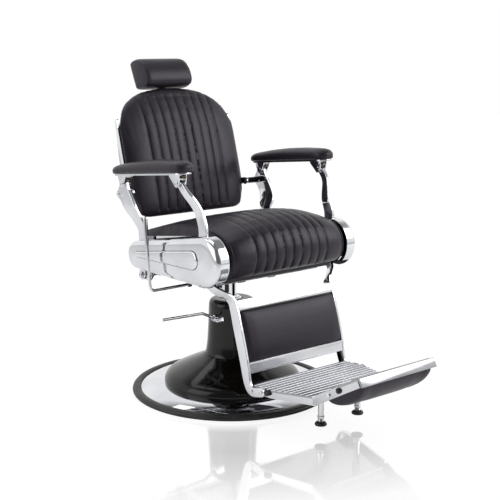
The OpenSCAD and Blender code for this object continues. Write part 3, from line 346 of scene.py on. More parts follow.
def make_finishes():
    settings = bpy.context.scene.barber_chair_metal
    cloth = bpy.context.scene.barber_chair_upholstery
    made = {}

    # Chrome plate over polished steel: a clear mirror with a faint haze from wiping
    m, t, s, p = new_finish("Chrome plate, polished", Metallic=1.0)
    haze = noise(t, p, 9.0, 3.0)
    drive(t, s, "Roughness", haze, [(0.35, grey(0.03)), (0.7, grey(0.075))])
    tone = ramp(t, haze, [(0.3, linear(settings.chrome)), (0.8, linear("#d3d4d8"))])
    t.links.new(tone, s.inputs["Base Color"])
    wave = noise(t, p, 22.0, 1.0)
    bump(t, s, wave, 0.0006, 0.25)
    made["chrome"] = m

    # Satin brushed aluminium: fine lines along X, about 0.8 mm apart, drawn 3 mm apart so they show
    made["brushed"] = brushed_metal("Aluminium, satin brushed", "#c2c3c6", "#dddee1")

    # Extruded aluminium tread: the same brushing, greyer from shoes
    made["tread"] = brushed_metal("Aluminium, worn tread", "#8d8e92", settings.aluminium)

    # Gloss black stoving enamel: deep black under a clear coat with slight orange peel and dust
    m, t, s, p = new_finish("Stoving enamel, gloss black", Roughness=0.12, IOR=1.5)
    s.inputs["Specular IOR Level"].default_value = 0.26
    s.inputs["Coat Weight"].default_value = 0.15
    s.inputs["Coat Roughness"].default_value = 0.03
    peel = noise(t, p, 160.0, 2.0)
    film = noise(t, p, 6.0, 5.0)
    drive(t, s, "Base Color", film, [(0.35, linear(settings.enamel)), (0.75, linear("#151210"))])
    bump(t, s, peel, 0.0004, 0.12)
    made["enamel"] = m

    # Upholstery vinyl with an embossed leather grain: cells of about 1.5 mm, drawn 3 mm across
    m, t, s, p = new_finish("Upholstery vinyl, leather grain", Roughness=0.45, IOR=1.5)
    s.inputs["Specular IOR Level"].default_value = 0.46
    s.inputs["Specular Tint"].default_value = linear("#ece4f4")
    cells = add_node(t, "ShaderNodeTexVoronoi", {"Scale": 1000 / cloth.grain, "Randomness": 0.9}, {"Vector": p},
                     feature="SMOOTH_F1")
    fine = noise(t, p, 520.0, 3.0)
    worn = noise(t, p, 5.0, 5.0, 0.6)
    hide = ramp(t, worn, [(0.3, linear("#141016")), (0.75, linear(cloth.colour))])
    # the sewn lines are darker: the seam attribute carries a painted shade in the crease along each sewn line
    sewn = add_node(t, "ShaderNodeAttribute", attribute_name="seam")
    body = add_node(t, "ShaderNodeMix", None, {0: sewn.outputs["Fac"]}, data_type="RGBA")
    body.inputs[7].default_value = linear("#060506")
    t.links.new(hide, body.inputs[6])
    t.links.new(body.outputs[2], s.inputs["Base Color"])
    sheen = add_node(t, "ShaderNodeMix", {"Factor": 0.5},
                     {"A": worn, "B": cells.outputs["Distance"]}).outputs["Result"]
    drive(t, s, "Roughness", sheen, [(0.2, grey(0.33)), (0.8, grey(0.48))])
    grain = add_node(t, "ShaderNodeMath", None, {0: cells.outputs["Distance"], 1: fine},
                     operation="ADD").outputs[0]
    bump(t, s, grain, 0.00025, 0.5)
    made["vinyl"] = m

    # Moulded black rubber: matt, faintly grey from handling
    m, t, s, p = new_finish("Rubber, moulded black", Roughness=0.6, IOR=1.45)
    dust = noise(t, p, 14.0, 6.0)
    drive(t, s, "Base Color", dust, [(0.35, linear("#1b1a1a")), (0.8, linear("#353332"))])
    drive(t, s, "Roughness", dust, [(0.3, grey(0.34)), (0.8, grey(0.56))])
    pores = noise(t, p, 420.0, 2.0)
    bump(t, s, pores, 0.0002, 0.3)
    made["rubber"] = m

    # Zinc-plated steel: grey metal with soft tool marks
    m, t, s, p = new_finish("Steel, zinc plated", Metallic=1.0)
    marks = noise(t, p, 60.0, 5.0)
    drive(t, s, "Base Color", marks, [(0.3, linear("#8f9092")), (0.75, linear("#bcbdbf"))])
    drive(t, s, "Roughness", marks, [(0.3, grey(0.2)), (0.75, grey(0.4))])
    bump(t, s, marks, 0.0002, 0.2)
    made["steel"] = m

    # Sintered bronze bushings: warm brown metal, slightly dark with oil
    m, t, s, p = new_finish("Bronze, oiled bushing", Metallic=1.0)
    oil = noise(t, p, 120.0, 4.0)
    drive(t, s, "Base Color", oil, [(0.3, linear("#352e29")), (0.7, linear("#64574c"))])
    drive(t, s, "Roughness", oil, [(0.3, grey(0.34)), (0.7, grey(0.5))])
    made["bronze"] = m

    return made


FINISH = {}
SLOT_FINISH = {"chrome": "chrome", "brushed_aluminium": "brushed", "gloss_black": "enamel",
               "upholstery": "vinyl", "rubber": "rubber", "steel": "steel"}
OWN_FINISH = {"footplate": "tread", "flap_tread": "tread", "seat_pan": "vinyl", "recline_cylinder": "chrome",
              "foot_bolts": "chrome", "arm_pins_left": "chrome",
              "arm_pins_right": "chrome", "pivot_pins": "chrome", "recline_shaft": "chrome"}


# ---------------------------------------------------------------- sizes and colours that a user may change

class BarberChairUpholstery(bpy.types.PropertyGroup):
    colour: bpy.props.StringProperty(name="Vinyl colour", description="Colour of the vinyl, as an sRGB hex value",
                                     default="#1d191f")
    grain: bpy.props.FloatProperty(name="Grain", description="Width of one cell of the embossed grain, in mm",
                                   default=3.0, min=0.8, max=6.0)
    groove: bpy.props.FloatProperty(name="Seam depth", description="How deep each sewn channel is drawn in",
                                    default=0.0022, min=0.0, max=0.006, unit="LENGTH", subtype="DISTANCE")
    pressure: bpy.props.FloatProperty(name="Filling", description="Pressure that swells each cushion in its cover",
                                      default=4.0, min=0.0, max=10.0)


class BarberChairMetal(bpy.types.PropertyGroup):
    chrome: bpy.props.StringProperty(name="Chrome colour", description="Colour of the chrome plate, as sRGB hex",
                                     default="#e6e7ea")
    aluminium: bpy.props.StringProperty(name="Aluminium colour", description="Colour of the brushed treads and bars",
                                        default="#b2b3b7")
    enamel: bpy.props.StringProperty(name="Enamel colour", description="Colour of the enamelled base and shroud",
                                     default="#0b0a09")
    edge: bpy.props.FloatProperty(name="Edge radius", description="Polished radius along the edges of the flat bars",
                                  default=0.0011, min=0.0002, max=0.003, unit="LENGTH", subtype="DISTANCE")


class BarberChairStage(bpy.types.PropertyGroup):
    floor: bpy.props.StringProperty(name="Floor colour", description="Colour of the studio floor, as sRGB hex",
                                    default="#f4f4f4")
    sky: bpy.props.FloatProperty(name="Room light", description="Strength of the even light of the room",
                                 default=0.7, min=0.0, max=2.0)
    key: bpy.props.FloatProperty(name="Key light", description="Power of the large soft lamp above the chair",
                                 default=60.0, min=0.0, max=500.0, unit="POWER")


# ---------------------------------------------------------------- metalwork

class BARBERCHAIR_OT_finishes(bpy.types.Operator):
    """Makes the materials and gives every frame part its own"""
    bl_idname = "barberchair.finishes"
    bl_label = "Finishes"

    def execute(self, context):
        FINISH.update(make_finishes())
        slots = {part["node"]: part["material_slot"] for part in frame["record"]["subparts"]}
        for name, node in frame["nodes"].items():
            finish = FINISH[OWN_FINISH.get(name, SLOT_FINISH[slots[name]])]
            if not node.material_slots:
                node.data.materials.append(finish)
            for place_slot in node.material_slots:
                place_slot.material = finish
        return {"FINISHED"}


class BARBERCHAIR_OT_base(bpy.types.Operator):
    """Turns the rubber rim, the chrome floor disc and the enamelled bell"""
    bl_idname = "barberchair.base"
    bl_label = "Base"

    def execute(self, context):
        rim = [(322.5, 1), (322.5, 17), (324, 18.6), (328, 19.4), (334, 20), (340, 19.6), (345, 17.4),
               (348.6, 13.6), (350, 9), (349.4, 5), (347.4, 2), (344, 0), (338, 0), (336, 1.2), (328, 1.2), (326, 0)]
        piece = smooth(turned("rim_ring", rim, 160), 50)
        stand_for(piece, "base_rim", "base", FINISH["rubber"])

        def top(r):
            f = (r - 244) / (322 - 244)
            return 32.0 if r < 244 else 32 - 17 * f * f
        disc = [(2, 0.4), (318, 0.4), (322, 1.5), (322, 14), (321.4, 14.9)] + \
            [(r, top(r)) for r in (319, 314, 306, 296, 284, 270, 256, 246, 238, 200, 60, 2)]
        piece = smooth(turned("floor_disc", disc, 192), 40)
        stand_for(piece, "base_disc", "base", FINISH["chrome"])

        outer = [(238, 32.3), (238, 37), (237.2, 43), (235, 50), (231, 57), (224, 64.5), (213, 72.5), (200, 79.5),
                 (186, 86.5), (172, 93), (158, 99.5), (144, 106), (131, 111.5), (119, 117), (109, 122),
                 (101.5, 126.5), (97.5, 129.6)]
        outer = [(q[0], q[1]) for q in curve_through([(r, z, 0) for r, z in outer], 3)]
        inner = [(max(r - 3.6, 94), z - 1.4) for r, z in reversed(outer)]
        inner[-1] = (234.4, 32.3)
        piece = smooth(turned("bell_cover", outer + inner, 160), 40)
        stand_for(piece, "base_bell", "base", FINISH["enamel"])
        return {"FINISHED"}


class BARBERCHAIR_OT_column(bpy.types.Operator):
    """Turns the enamelled pump shroud"""
    bl_idname = "barberchair.column"
    bl_label = "Column"

    def execute(self, context):
        outer = curve_through([(96.6, 131.2, 0), (93.4, 138, 0), (91.2, 149, 0), (87.6, 175, 0), (85, 215, 0),
                               (83, 255, 0), (81.6, 298, 0), (79.6, 312, 0), (76.4, 319, 0), (71, 323.6, 0),
                               (62, 326, 0), (46, 326, 0), (36, 326, 0)], 4)
        outer = [(q[0], q[1]) for q in outer]
        inner = [(r - 3.8, min(z, 322)) for r, z in reversed(outer) if r > 48]
        piece = smooth(turned("shroud_casting", outer + [(36, 318.5), (43, 318.5), (44, 322)] + inner, 160), 42)
        stand_for(piece, "pump_shroud", "base", FINISH["enamel"])
        return {"FINISHED"}


def bevelled(node, name, body, finish, width=None, angle=28):
    """A copy of a frame bar with its edges polished round."""
    piece = copy_of(node, name)
    edit_all()
    bpy.ops.mesh.dissolve_limited(angle_limit=math.radians(0.6))
    leave_edit()
    apply_modifier(piece, "BEVEL", width=width or bpy.context.scene.barber_chair_metal.edge, segments=3,
                   limit_method="ANGLE", angle_limit=math.radians(angle), use_clamp_overlap=True,
                   miter_outer="MITER_ARC", harden_normals=False)
    smooth(piece, 30)
    return stand_for(piece, node, body, FINISH[finish])


BARS = [
    ("arm_plate_left", "arm_bracket_left", "arm_left", "chrome", "chrome"),
    ("arm_plate_right", "arm_bracket_right", "arm_right", "chrome", "chrome"),
    ("leg_crossbars", "crossbar_pair", "leg_rest", "brushed_aluminium", "brushed"),
    ("foot_rails", "tread_side_strips", "leg_rest", "brushed_aluminium", "brushed"),
    ("flap_bar", "flap_front_bar", "foot_flap", "brushed_aluminium", "tread"),
    ("back_rails", "backrest_side_rails", "backrest", "chrome", "chrome"),
    ("headrest_bracket", "headrest_yoke", "headrest", "chrome", "chrome"),
    ("headrest_stem", "headrest_strap", "headrest_stem", "chrome", "chrome"),
]
RECLINE, REAR_PIN, FRONT_PIN = Vector((144, 420)), Vector((195, 729)), Vector((-118, 761))
POST_PIVOT, LEG_PIVOT, HEEL = Vector((-169, 452)), Vector((-204, 453)), Vector((-356, 123))
BOSS = (232.9, 689.2)
POST_X, ARM_X, LEG_X = 270.5, 301.0, 206.0


def rounded(w, t, r, steps=4):
    """A rectangle of half width w and half thickness t with rounded corners."""
    r = min(r, 0.9 * w, 0.96 * t)
    return [(cx + r * math.cos(math.radians(from_angle + 90 * k / steps)),
             cy + r * math.sin(math.radians(from_angle + 90 * k / steps)))
            for cx, cy, from_angle in ((w - r, t - r, 0), (r - w, t - r, 90), (r - w, r - t, 180),
                                       (w - r, r - t, 270))
            for k in range(steps + 1)]


def bowed(foot, top, bow, shape):
    """A bar's centre line from one pivot to another: each entry is (share, bow, half width)."""
    run = top - foot
    off = Vector((-run.y, run.x)).normalized()
    return [tuple(foot + run * share + off * bow * lean) + (half,) for share, lean, half in shape]


def stepped(foot, top, shape):
    """Where a post steps out from the side frame to the arm, as (x, z) points."""
    return [(POST_X + (ARM_X - POST_X) * out, foot.y + (top.y - foot.y) * share) for share, out in shape]


def flat_bar(name, path, step, side, thickness, edge, sheet=False):
    """A flat bar with polished edges and round ends along (y, z, half width) points."""
    run = [Vector(q) for q in curve_through(path, 6)]
    x_of = curve_through([(x, z, 0) for x, z in step], 6)

    def x_at(z):
        for a, b in zip(x_of, x_of[1:]):
            if (z - a.y) * (z - b.y) <= 0:
                return a.x + (b.x - a.x) * (z - a.y) / ((b.y - a.y) or 1)
        return min(x_of, key=lambda q: abs(q.y - z)).x
    ends = []
    for end, inner in ((run[0], run[1]), (run[-1], run[-2])):
        out = (end - inner).to_2d().normalized()
        cap = [(end.x + out.x * end.z * math.sin(a), end.y + out.y * end.z * math.sin(a), end.z * math.cos(a))
               for a in (math.radians(k) for k in (18, 36, 54, 70, 82))]
        ends.append([Vector(q) for q in cap])
    run = ends[0][::-1] + run + ends[1]
    centres = [Vector((x_at(q.y), q.x, q.y)) for q in run]
    rings = []
    for i, centre in enumerate(centres):
        along = (centres[min(i + 1, len(run) - 1)] - centres[max(i - 1, 0)]).normalized()
        across = Vector((1, 0, 0)).cross(along).normalized()
        through = along.cross(across)
        ring = []
        for u, v in rounded(run[i].z, thickness / 2, edge):
            # a sheet is bent as a whole, so that bars which meet in it lie in one surface
            y, z = centre.y + u * across.y, centre.z + u * across.z
            ring.append(Vector((x_at(z) + v, y, z)) if sheet else centre + u * across + v * through)
        rings.append(ring)
    return smooth(drawn_out(name, [[(side * p.x, p.y, p.z) for p in ring] for ring in rings]), 42)


def both_sides():
    return (1, "left"), (-1, "right")


class BARBERCHAIR_OT_posts(bpy.types.Operator):
    """Draws the four bowed arm posts and the branch that carries the backrest"""
    bl_idname = "barberchair.posts"
    bl_label = "Arm posts"

    def execute(self, context):
        rear = bowed(RECLINE, REAR_PIN, 36, [(0, 0, 17), (0.26, 0.4, 17), (0.55, 0.92, 19), (0.66, 1, 19),
                                             (0.78, 0.64, 18), (0.91, 0.12, 16), (1, 0, 13)])
        front = bowed(POST_PIVOT, FRONT_PIN, 54, [(0, 0, 14), (0.24, 0.55, 17), (0.49, 1, 20), (0.67, 0.84, 18),
                                                  (0.8, 0.66, 16), (0.9, 0.4, 14), (1, 0, 12)])
        rear_step = stepped(RECLINE, REAR_PIN, [(-0.1, 0), (0.34, 0), (0.5, 0.12), (0.6, 0.36), (0.68, 0.76),
                                                (0.78, 1), (1.1, 1)])
        front_step = stepped(POST_PIVOT, FRONT_PIN, [(-0.1, 0), (0.5, 0), (0.68, 0), (0.76, 0.2), (0.82, 0.46),
                                                     (0.9, 0.86), (0.97, 1), (1.1, 1)])
        for side, mark in both_sides():
            post = flat_bar("post_rear_" + mark, rear, rear_step, side, 11, 2.4, True)
            # the web behind the post reaches out to the spacer that carries the back
            web = (([(196, 727, 14), (207, 711, 20), (220, 699, 16), BOSS + (10,)], rear_step, 10.6),
                   ([(231, 690, 12), (213, 676, 11), (197, 655, 12), (181, 628, 13), (167, 604, 12), (156, 583, 8)],
                    rear_step, 10.5),
                   ([(196, 724, 12), (193, 698, 17), (187, 672, 17), (174, 640, 15), (160, 606, 11)],
                    rear_step, 10.4))
            for path, out, thick in web:
                branch = flat_bar("branch", path, out, side, thick, 2.4, True)
                apply_modifier(post, "BOOLEAN", operation="UNION", solver="EXACT", object=branch)
                bpy.data.objects.remove(branch)
            smooth(tidy_normals(post), 42)
            apply_modifier(post, "WEIGHTED_NORMAL", keep_sharp=True, weight=80)
            stand_for(post, "rear_post_" + mark, "backrest", FINISH["chrome"])
            post = flat_bar("post_front_" + mark, front, front_step, side, 11, 2.4)
            stand_for(post, "front_post_" + mark, "front_post_" + mark, FINISH["chrome"])
        return {"FINISHED"}


class BARBERCHAIR_OT_leg_bars(bpy.types.Operator):
    """Draws the two flat bars that carry the calf panel and the tread"""
    bl_idname = "barberchair.leg_bars"
    bl_label = "Leg bars"

    def execute(self, context):
        path = [(LEG_PIVOT.x - 152 * reach, LEG_PIVOT.y - 330 * drop, half) for reach, drop, half in
                ((0, 0, 15), (0.16, 0.07, 15), (0.37, 0.19, 17.5), (0.56, 0.44, 20), (0.735, 0.70, 19),
                 (0.822, 0.87, 16.5))]
        path += [(HEEL.x + y, HEEL.y + z, half) for y, z, half in
                 ((18, 17, 15.5), (9, 5, 15), (-3, -1, 14.6), (-20, 1, 14.6), (-48, 8, 14.6))]
        ear_x = 258.5
        step = [(x, LEG_PIVOT.y + z) for x, z in
                ((ear_x, 60), (ear_x, 0), (ear_x - 1, -12), (ear_x - 9, -23), ((ear_x + LEG_X) / 2, -35),
                 (LEG_X + 9, -47), (LEG_X + 1, -59), (LEG_X, -72), (LEG_X, -140), (LEG_X, -400))]
        for side, mark in both_sides():
            bar = flat_bar("leg_strap_" + mark, path, step, side, 9, 1.5)
            stand_for(bar, "leg_bar_" + mark, "leg_rest", FINISH["chrome"])
        return {"FINISHED"}


class BARBERCHAIR_OT_bars(bpy.types.Operator):
    """Gives the flat bars and brackets their polished edges, and makes the back board slightly narrower and shorter
    """
    bl_idname = "barberchair.bars"
    bl_label = "Bars and posts"

    def execute(self, context):
        for node, name, body, slot, finish in BARS:
            bevelled(node, name, body, finish)
        board = copy_of("back_board", "back_panel_board")
        into = BACK.inverted()
        for v in board.data.vertices:
            q = into @ (v.co / MM)
            v.co = BACK @ Vector((0.96 * q.x, q.y, 223 + 0.98 * (q.z - 223))) * MM
        stand_for(smooth(board, 35), "back_board", "backrest", FINISH["enamel"])
        return {"FINISHED"}


NOSE, TAIL = Vector((-223, 523)), Vector((150, 490))
NOSE_R, TAIL_R = 82.0, 48.0
COVER_IN, COVER_RIM = 252.0, 283.0


def cover_outline():
    """Points around the cover's outline with the matching points of its spine, as (y, z) pairs."""
    run = TAIL - NOSE
    turn = math.atan2(run.y, run.x)
    lean = math.acos((NOSE_R - TAIL_R) / run.length)
    walk = []
    arcs = ((NOSE, NOSE_R, turn + lean, turn + 2 * math.pi - lean), (TAIL, TAIL_R, turn - lean, turn + lean))
    for centre, r, start, end in arcs:
        steps = 40 if r > 60 else 26
        for k in range(steps + 1):
            a = start + (end - start) * k / steps
            walk.append((centre + r * Vector((math.cos(a), math.sin(a))), centre.copy()))
    full = []
    for (p, c), (q, d) in zip(walk, walk[1:] + walk[:1]):
        gap = (q - p).length
        n = max(1, round(gap / 8)) if gap > 20 else 1
        full += [(p.lerp(q, j / n), c.lerp(d, j / n)) for j in range(n)]
    return full


BULLET_A, BULLET_B, BULLET_RA, BULLET_RB = Vector((-176, 524)), Vector((132, 497)), 30.0, 9.0


def tapered_outline(a, b, ra, rb, grow=0.0, steps=14):
    """Points around two circles joined by their tangents, as (y, z) pairs."""
    run = b - a
    turn, lean = math.atan2(run.y, run.x), math.acos((ra - rb) / run.length)
    out = []
    for centre, r, start, end in ((a, ra, turn + lean, turn + 2 * math.pi - lean), (b, rb, turn - lean, turn + lean)):
        out += [centre + (r + grow) * Vector((math.cos(q), math.sin(q)))
                for q in (start + (end - start) * k / steps for k in range(steps + 1))]
    return out


def close_rim(piece, test):
    """Fills the hole whose edge passes a test with one fan of faces."""
    activate(piece)
    bpy.ops.object.mode_set(mode="EDIT")
    bm = bmesh.from_edit_mesh(piece.data)
    edges = [e for e in bm.edges if e.is_boundary and all(test(v) for v in e.verts)]
    for group in (bm.verts, bm.edges, bm.faces):
        for item in group:
            item.select_set(False)
    for edge in edges:
        edge.select_set(True)
    bmesh.update_edit_mesh(piece.data)
    bpy.ops.mesh.extrude_edges_move()
    bpy.ops.mesh.merge(type="CENTER")
    leave_edit()
    return tidy_normals(piece)


def open_slots(piece):
    """Opens the cover's wall where the arm posts and the leg bar swing through it."""
    def swept(face):
        x, y, z = face.calc_center_median() / MM
        over, behind, nose = -221 < y < 232 and z > 500, y > 112, -320 < y < -149 and z < 469
        return abs(x) < COVER_RIM + 0.6 and (over or behind or nose)
    activate(piece)
    bpy.ops.object.mode_set(mode="EDIT")
    bpy.ops.mesh.select_mode(type="FACE")
    pick(piece, swept, "faces")
    bpy.ops.mesh.delete(type="FACE")
    bpy.ops.mesh.select_mode(type="VERT")
    leave_edit()


class BARBERCHAIR_OT_side_covers(bpy.types.Operator):
    """Draws the two domed chrome side covers with their raised bullet"""
    bl_idname = "barberchair.side_covers"
    bl_label = "Side covers"

    def execute(self, context):
        outline = cover_outline()
        shares = [0.0, 0.01, 0.028, 0.055, 0.09, 0.13, 0.18, 0.24, 0.31, 0.39, 0.48, 0.58, 0.68, 0.78, 0.88, 0.965]

        def face(share):
            return COVER_RIM + 17 * (1 - (1 - min(1, share / 0.36)) ** 2.6) ** 0.5 + 2.5 * share
        for side, mark in both_sides():
            rings = [[(COVER_RIM - depth, p.x, p.y) for p, c in outline] for depth in (30.5, 30, 8, 2, 0.0)]
            rings += [[(face(share), q.x, q.y) for q in (p.lerp(c, share) for p, c in outline)]
                      for share in shares[1:]]
            piece = drawn_out("cover_shell_" + mark, [[(side * x, y, z) for x, y, z in ring] for ring in rings],
                              False)
            close_rim(piece, lambda v: abs(v.co.x) > (COVER_RIM + 15) * MM)
            open_slots(piece)
            apply_modifier(piece, "SOLIDIFY", thickness=0.0022, offset=-1)
            apply_modifier(piece, "SUBSURF", levels=1, render_levels=1)
            smooth(piece, 50)
            stand_for(piece, "side_cover_" + mark, "seat", FINISH["chrome"])
            # a black enamel sheet inside each cover, a painted shade for the dark cavity that the open slots show
            shade_lining = [[(x, *(p + (c - p).normalized() * 3.2)) for p, c in outline]
                      for x in (COVER_IN + 1.5, COVER_RIM - 10, COVER_RIM + 4)]
            shade_liner = drawn_out("cover_lining_" + mark, [[(side * x, y, z) for x, y, z in ring] for ring in shade_lining],
                              False)
            close_rim(shade_liner, lambda v: abs(v.co.x) > (COVER_RIM + 1) * MM)
            open_slots(shade_liner)
            apply_modifier(shade_liner, "SOLIDIFY", thickness=0.001, offset=-1)
            stand_for(smooth(shade_liner, 50), None, "seat", FINISH["enamel"])
            raised = []
            for grow, out in ((0.0, 17.0), (0.0, 20.5), (-0.7, 22.2), (-2.4, 23.4), (-5.0, 24.0), (-7.6, 24.2)):
                raised.append([(side * (COVER_RIM + out), y, z) for y, z in
                               tapered_outline(BULLET_A, BULLET_B, BULLET_RA, BULLET_RB, grow)])
            bullet = smooth(drawn_out("cover_bullet_" + mark, raised), 60)
            stand_for(bullet, None, "seat", FINISH["chrome"])
            # a thin black rubber ring round the bullet: a painted shadow and painted dark reflection along its
            # outline
            line = [[(side * (COVER_RIM + out), y, z) for y, z in
                     tapered_outline(BULLET_A, BULLET_B, BULLET_RA, BULLET_RB, 1.3)] for out in (16.8, 19.9)]
            shade = smooth(drawn_out("cover_bullet_seat_" + mark, line), 60)
            stand_for(shade, None, "seat", FINISH["rubber"])
        return {"FINISHED"}


def rod_x(name, x0, x1, y, z, r, bevel=0.8, sides=32):
    """A short round bar along X with its ends chamfered, in millimetres."""
    deselect()
    bpy.ops.mesh.primitive_cylinder_add(vertices=sides, radius=r * MM, depth=abs(x1 - x0) * MM,
                                        location=((x0 + x1) / 2 * MM, y * MM, z * MM), rotation=(0, math.pi / 2, 0))
    piece = place(named(name))
    return apply_modifier(piece, "BEVEL", width=bevel * MM, segments=2, limit_method="ANGLE",
                          angle_limit=math.radians(40))


SCREWS = [
    ("arm_screw_rear", "arm_", 316.0, tuple(REAR_PIN), 8.3, True),
    ("arm_screw_front", "arm_", 316.0, tuple(FRONT_PIN), 8.3, True),
    ("spacer_screw", "backrest", 306.2, BOSS, 6.5, False),
    ("shaft_screw", "backrest", 281.0, tuple(RECLINE), 7.5, False),
    ("heel_screw", "leg_rest", 210.5, tuple(HEEL), 7.3, False),
    ("toe_screw", "leg_rest", 210.5, (-404, 131), 7.3, False),
    ("flap_screw", "leg_rest", 160.0, (-650.62, 176.74), 7.3, False),
]


class BARBERCHAIR_OT_screws(bpy.types.Operator):
    """Makes one cap screw with a hex socket and copies it to every pivot and joint"""
    bl_idname = "barberchair.screws"
    bl_label = "Cap screws"

    def execute(self, context):
        head = rod_x("screw_head", 0, 3.8, 0, 0, 8, 0.9, 40)
        socket = rod_x("socket", 1.4, 5, 0, 0, 4.3, 0.01, 6)
        apply_modifier(head, "BOOLEAN", operation="DIFFERENCE", solver="EXACT", object=socket)
        bpy.data.objects.remove(socket)
        smooth(head, 30)
        for name, body, x, (y, z), r, arm in SCREWS:
            for side, mark in both_sides():
                screw = bpy.data.objects.new(name + "_" + mark, head.data.copy())
                context.scene.collection.objects.link(screw)
                grow = r / 8
                screw.data.transform(Matrix.Translation((side * x * MM, y * MM, z * MM))
                                     @ Matrix.Rotation(math.radians(17), 4, "X")
                                     @ Matrix.Diagonal((side, grow, grow, 1)))
                tidy_normals(screw)
                stand_for(screw, None, body + mark if arm else body, FINISH["chrome"])
        bpy.data.objects.remove(head)
        return {"FINISHED"}


class BARBERCHAIR_OT_bushes(bpy.types.Operator):
    """Makes the bronze bushes that show inside the four arm brackets"""
    bl_idname = "barberchair.bushes"
    bl_label = "Bushes"

    def execute(self, context):
        for side, mark in both_sides():
            for name, pin, ahead, up in (("rear", REAR_PIN, 19, 17), ("front", FRONT_PIN, 13, 22)):
                bush = rod_x("bush_" + name + "_" + mark, side * (ARM_X - 11), side * (ARM_X + 11),
                             pin.x - ahead, pin.y + up, 5.4)
                stand_for(smooth(bush), None, "arm_" + mark, FINISH["bronze"])
        return {"FINISHED"}


class BARBERCHAIR_OT_levelling_feet(bpy.types.Operator):
    """Turns the two levelling feet: a chrome stem with its nut over a rubber pad"""
    bl_idname = "barberchair.levelling_feet"
    bl_label = "Levelling feet"

    def execute(self, context):
        for side, mark in both_sides():
            at = (side * 80, -537)
            pad = turned("foot_pad_" + mark, [(0.3, 33), (15, 33), (18, 34), (19, 36), (19, 38.5), (17.5, 41.5),
                                              (14.5, 44), (11, 46), (0.3, 46.4)], 48, at)
            stand_for(smooth(pad, 40), "levelling_foot_" + mark, "foot_" + mark, FINISH["rubber"])
            ridges = [q for k in range(5) for q in ((9.6, 47.6 + 2 * k), (8.6, 48.6 + 2 * k))]
            stem = turned("foot_stem_" + mark, [(0.3, 45.5), (9, 45.5)] + ridges + [(8.8, 58), (11, 58.4), (11, 63.6),
                          (10.4, 64.4), (8.9, 64.6), (8.9, 136.6), (0.3, 136.6)], 48, at)
            stand_for(smooth(stem, 35), None, "foot_" + mark, FINISH["chrome"])
        return {"FINISHED"}


LEVER_LEAN, LEVER_DROP = 5.5, 20.0


class BARBERCHAIR_OT_recline_lever(bpy.types.Operator):
    """Draws the recline lever's rod and its bright grip"""
    bl_idname = "barberchair.recline_lever"
    bl_label = "Recline lever"

    def execute(self, context):
        lean = math.radians(LEVER_LEAN)
        drop = Vector((0, -math.sin(lean), -math.cos(lean))) * LEVER_DROP * MM
        for node, name, low in (("recline_lever", "lever_rod", 600), ("recline_grip", "lever_grip", 0)):
            piece = copy_of(node, name)
            for v in piece.data.vertices:
                if v.co.z > low * MM:
                    v.co += drop
            stand_for(smooth(piece, 35), node, "recline_lever", FINISH["chrome"])
        return {"FINISHED"}


# ---------------------------------------------------------------- upholstery

def swell(piece, cap, pressure, pinned):
    """Blows the cover up over its filling by cloth simulation, with the sewn lines held."""
    group = piece.vertex_groups.new(name="sewn")
    rest = [v.co.copy() for v in piece.data.vertices]
    for v in piece.data.vertices:
        hold = pinned(v.co / MM)
        if hold > 0:
            group.add([v.index], hold, "REPLACE")
    activate(piece)
    modifier = piece.modifiers.new("filling", "CLOTH")
    cloth = modifier.settings
    cloth.quality, cloth.mass = 5, 0.3
    cloth.use_pressure, cloth.uniform_pressure_force = True, pressure
    cloth.tension_stiffness = cloth.compression_stiffness = 15
    cloth.bending_stiffness = 0.5
    cloth.effector_weights.gravity = 0
    cloth.vertex_group_mass = "sewn"
    modifier.collision_settings.use_collision = False
    modifier.collision_settings.use_self_collision = False
    scene = bpy.context.scene
    for step in range(1, 21):
        scene.frame_set(step)
    bpy.ops.object.modifier_apply(modifier=modifier.name)
    scene.frame_set(1)
    for v, start in zip(piece.data.vertices, rest):
        way = v.co - start
        if way.length > cap:
            v.co = start + way.normalized() * cap
    piece.vertex_groups.clear()


def relax(piece, factor=0.5, repeat=6):
    return apply_modifier(piece, "SMOOTH", factor=factor, iterations=repeat)


def upholstered(node, name, voxel, cap, pinned, body, shape=None, after=None, ease=6, sewn=None):
    """Covers a cushion: remeshed from the frame's form, swollen, subdivided, then seamed."""
    piece = copy_of(node, name)
    apply_modifier(piece, "REMESH", mode="VOXEL", voxel_size=voxel)
    relax(piece, 0.5, ease)
    if shape:
        for v in piece.data.vertices:
            v.co = shape(v.co / MM) * MM
    swell(piece, cap, bpy.context.scene.barber_chair_upholstery.pressure, pinned)
    relax(piece, 0.5, 2)
    apply_modifier(piece, "SUBSURF", levels=1, render_levels=1)
    if sewn:
        # the seam attribute marks a painted shade along each sewn line, which the vinyl finish turns darker
        marks = piece.data.attributes.new("seam", "FLOAT", "POINT")
        for v in piece.data.vertices:
            off, fade = sewn(v.co / MM)
            if fade > 0 and abs(off) < 1.7:
                v.co.x -= off * MM
                off = 0
            marks.data[v.index].value = fade * math.exp(-(off / 1.5) ** 2)
        piece.data.update()
    if after:
        normals = [v.normal.copy() for v in piece.data.vertices]
        for v, n in zip(piece.data.vertices, normals):
            v.co -= n * after(v.co / MM, n) * MM
    smooth(piece, 180)
    stand_for(piece, node, body, FINISH["vinyl"])
    return piece


def arch(off, rise):
    """How far a channel's cover lies below its crown: a round arch between two sewn lines."""
    share = min(1.0, abs(off) / (PITCH / 2))
    return rise * (1 - (1 - (1 - share) ** 2) ** 0.5)


def piped_edge(piece, name, x, centre, angles, radius, body):
    """Sews a round piping on the cover along its section at x, seen from a centre in millimetres."""
    mesh = piece.data
    tree = BVHTree.FromPolygons([v.co for v in mesh.vertices], [list(f.vertices) for f in mesh.polygons])
    path = []
    for k in range(angles[2] + 1):
        a = math.radians(angles[0] + (angles[1] - angles[0]) * k / angles[2])
        way = Vector((0, math.cos(a), math.sin(a)))
        hit = tree.ray_cast(Vector((x, *centre)) * MM + way * 0.6, -way)[0]
        if hit:
            path.append(hit / MM)
    cord = smooth(rod_along(name, path, radius, 10), 60)
    return stand_for(cord, None, body, FINISH["vinyl"])


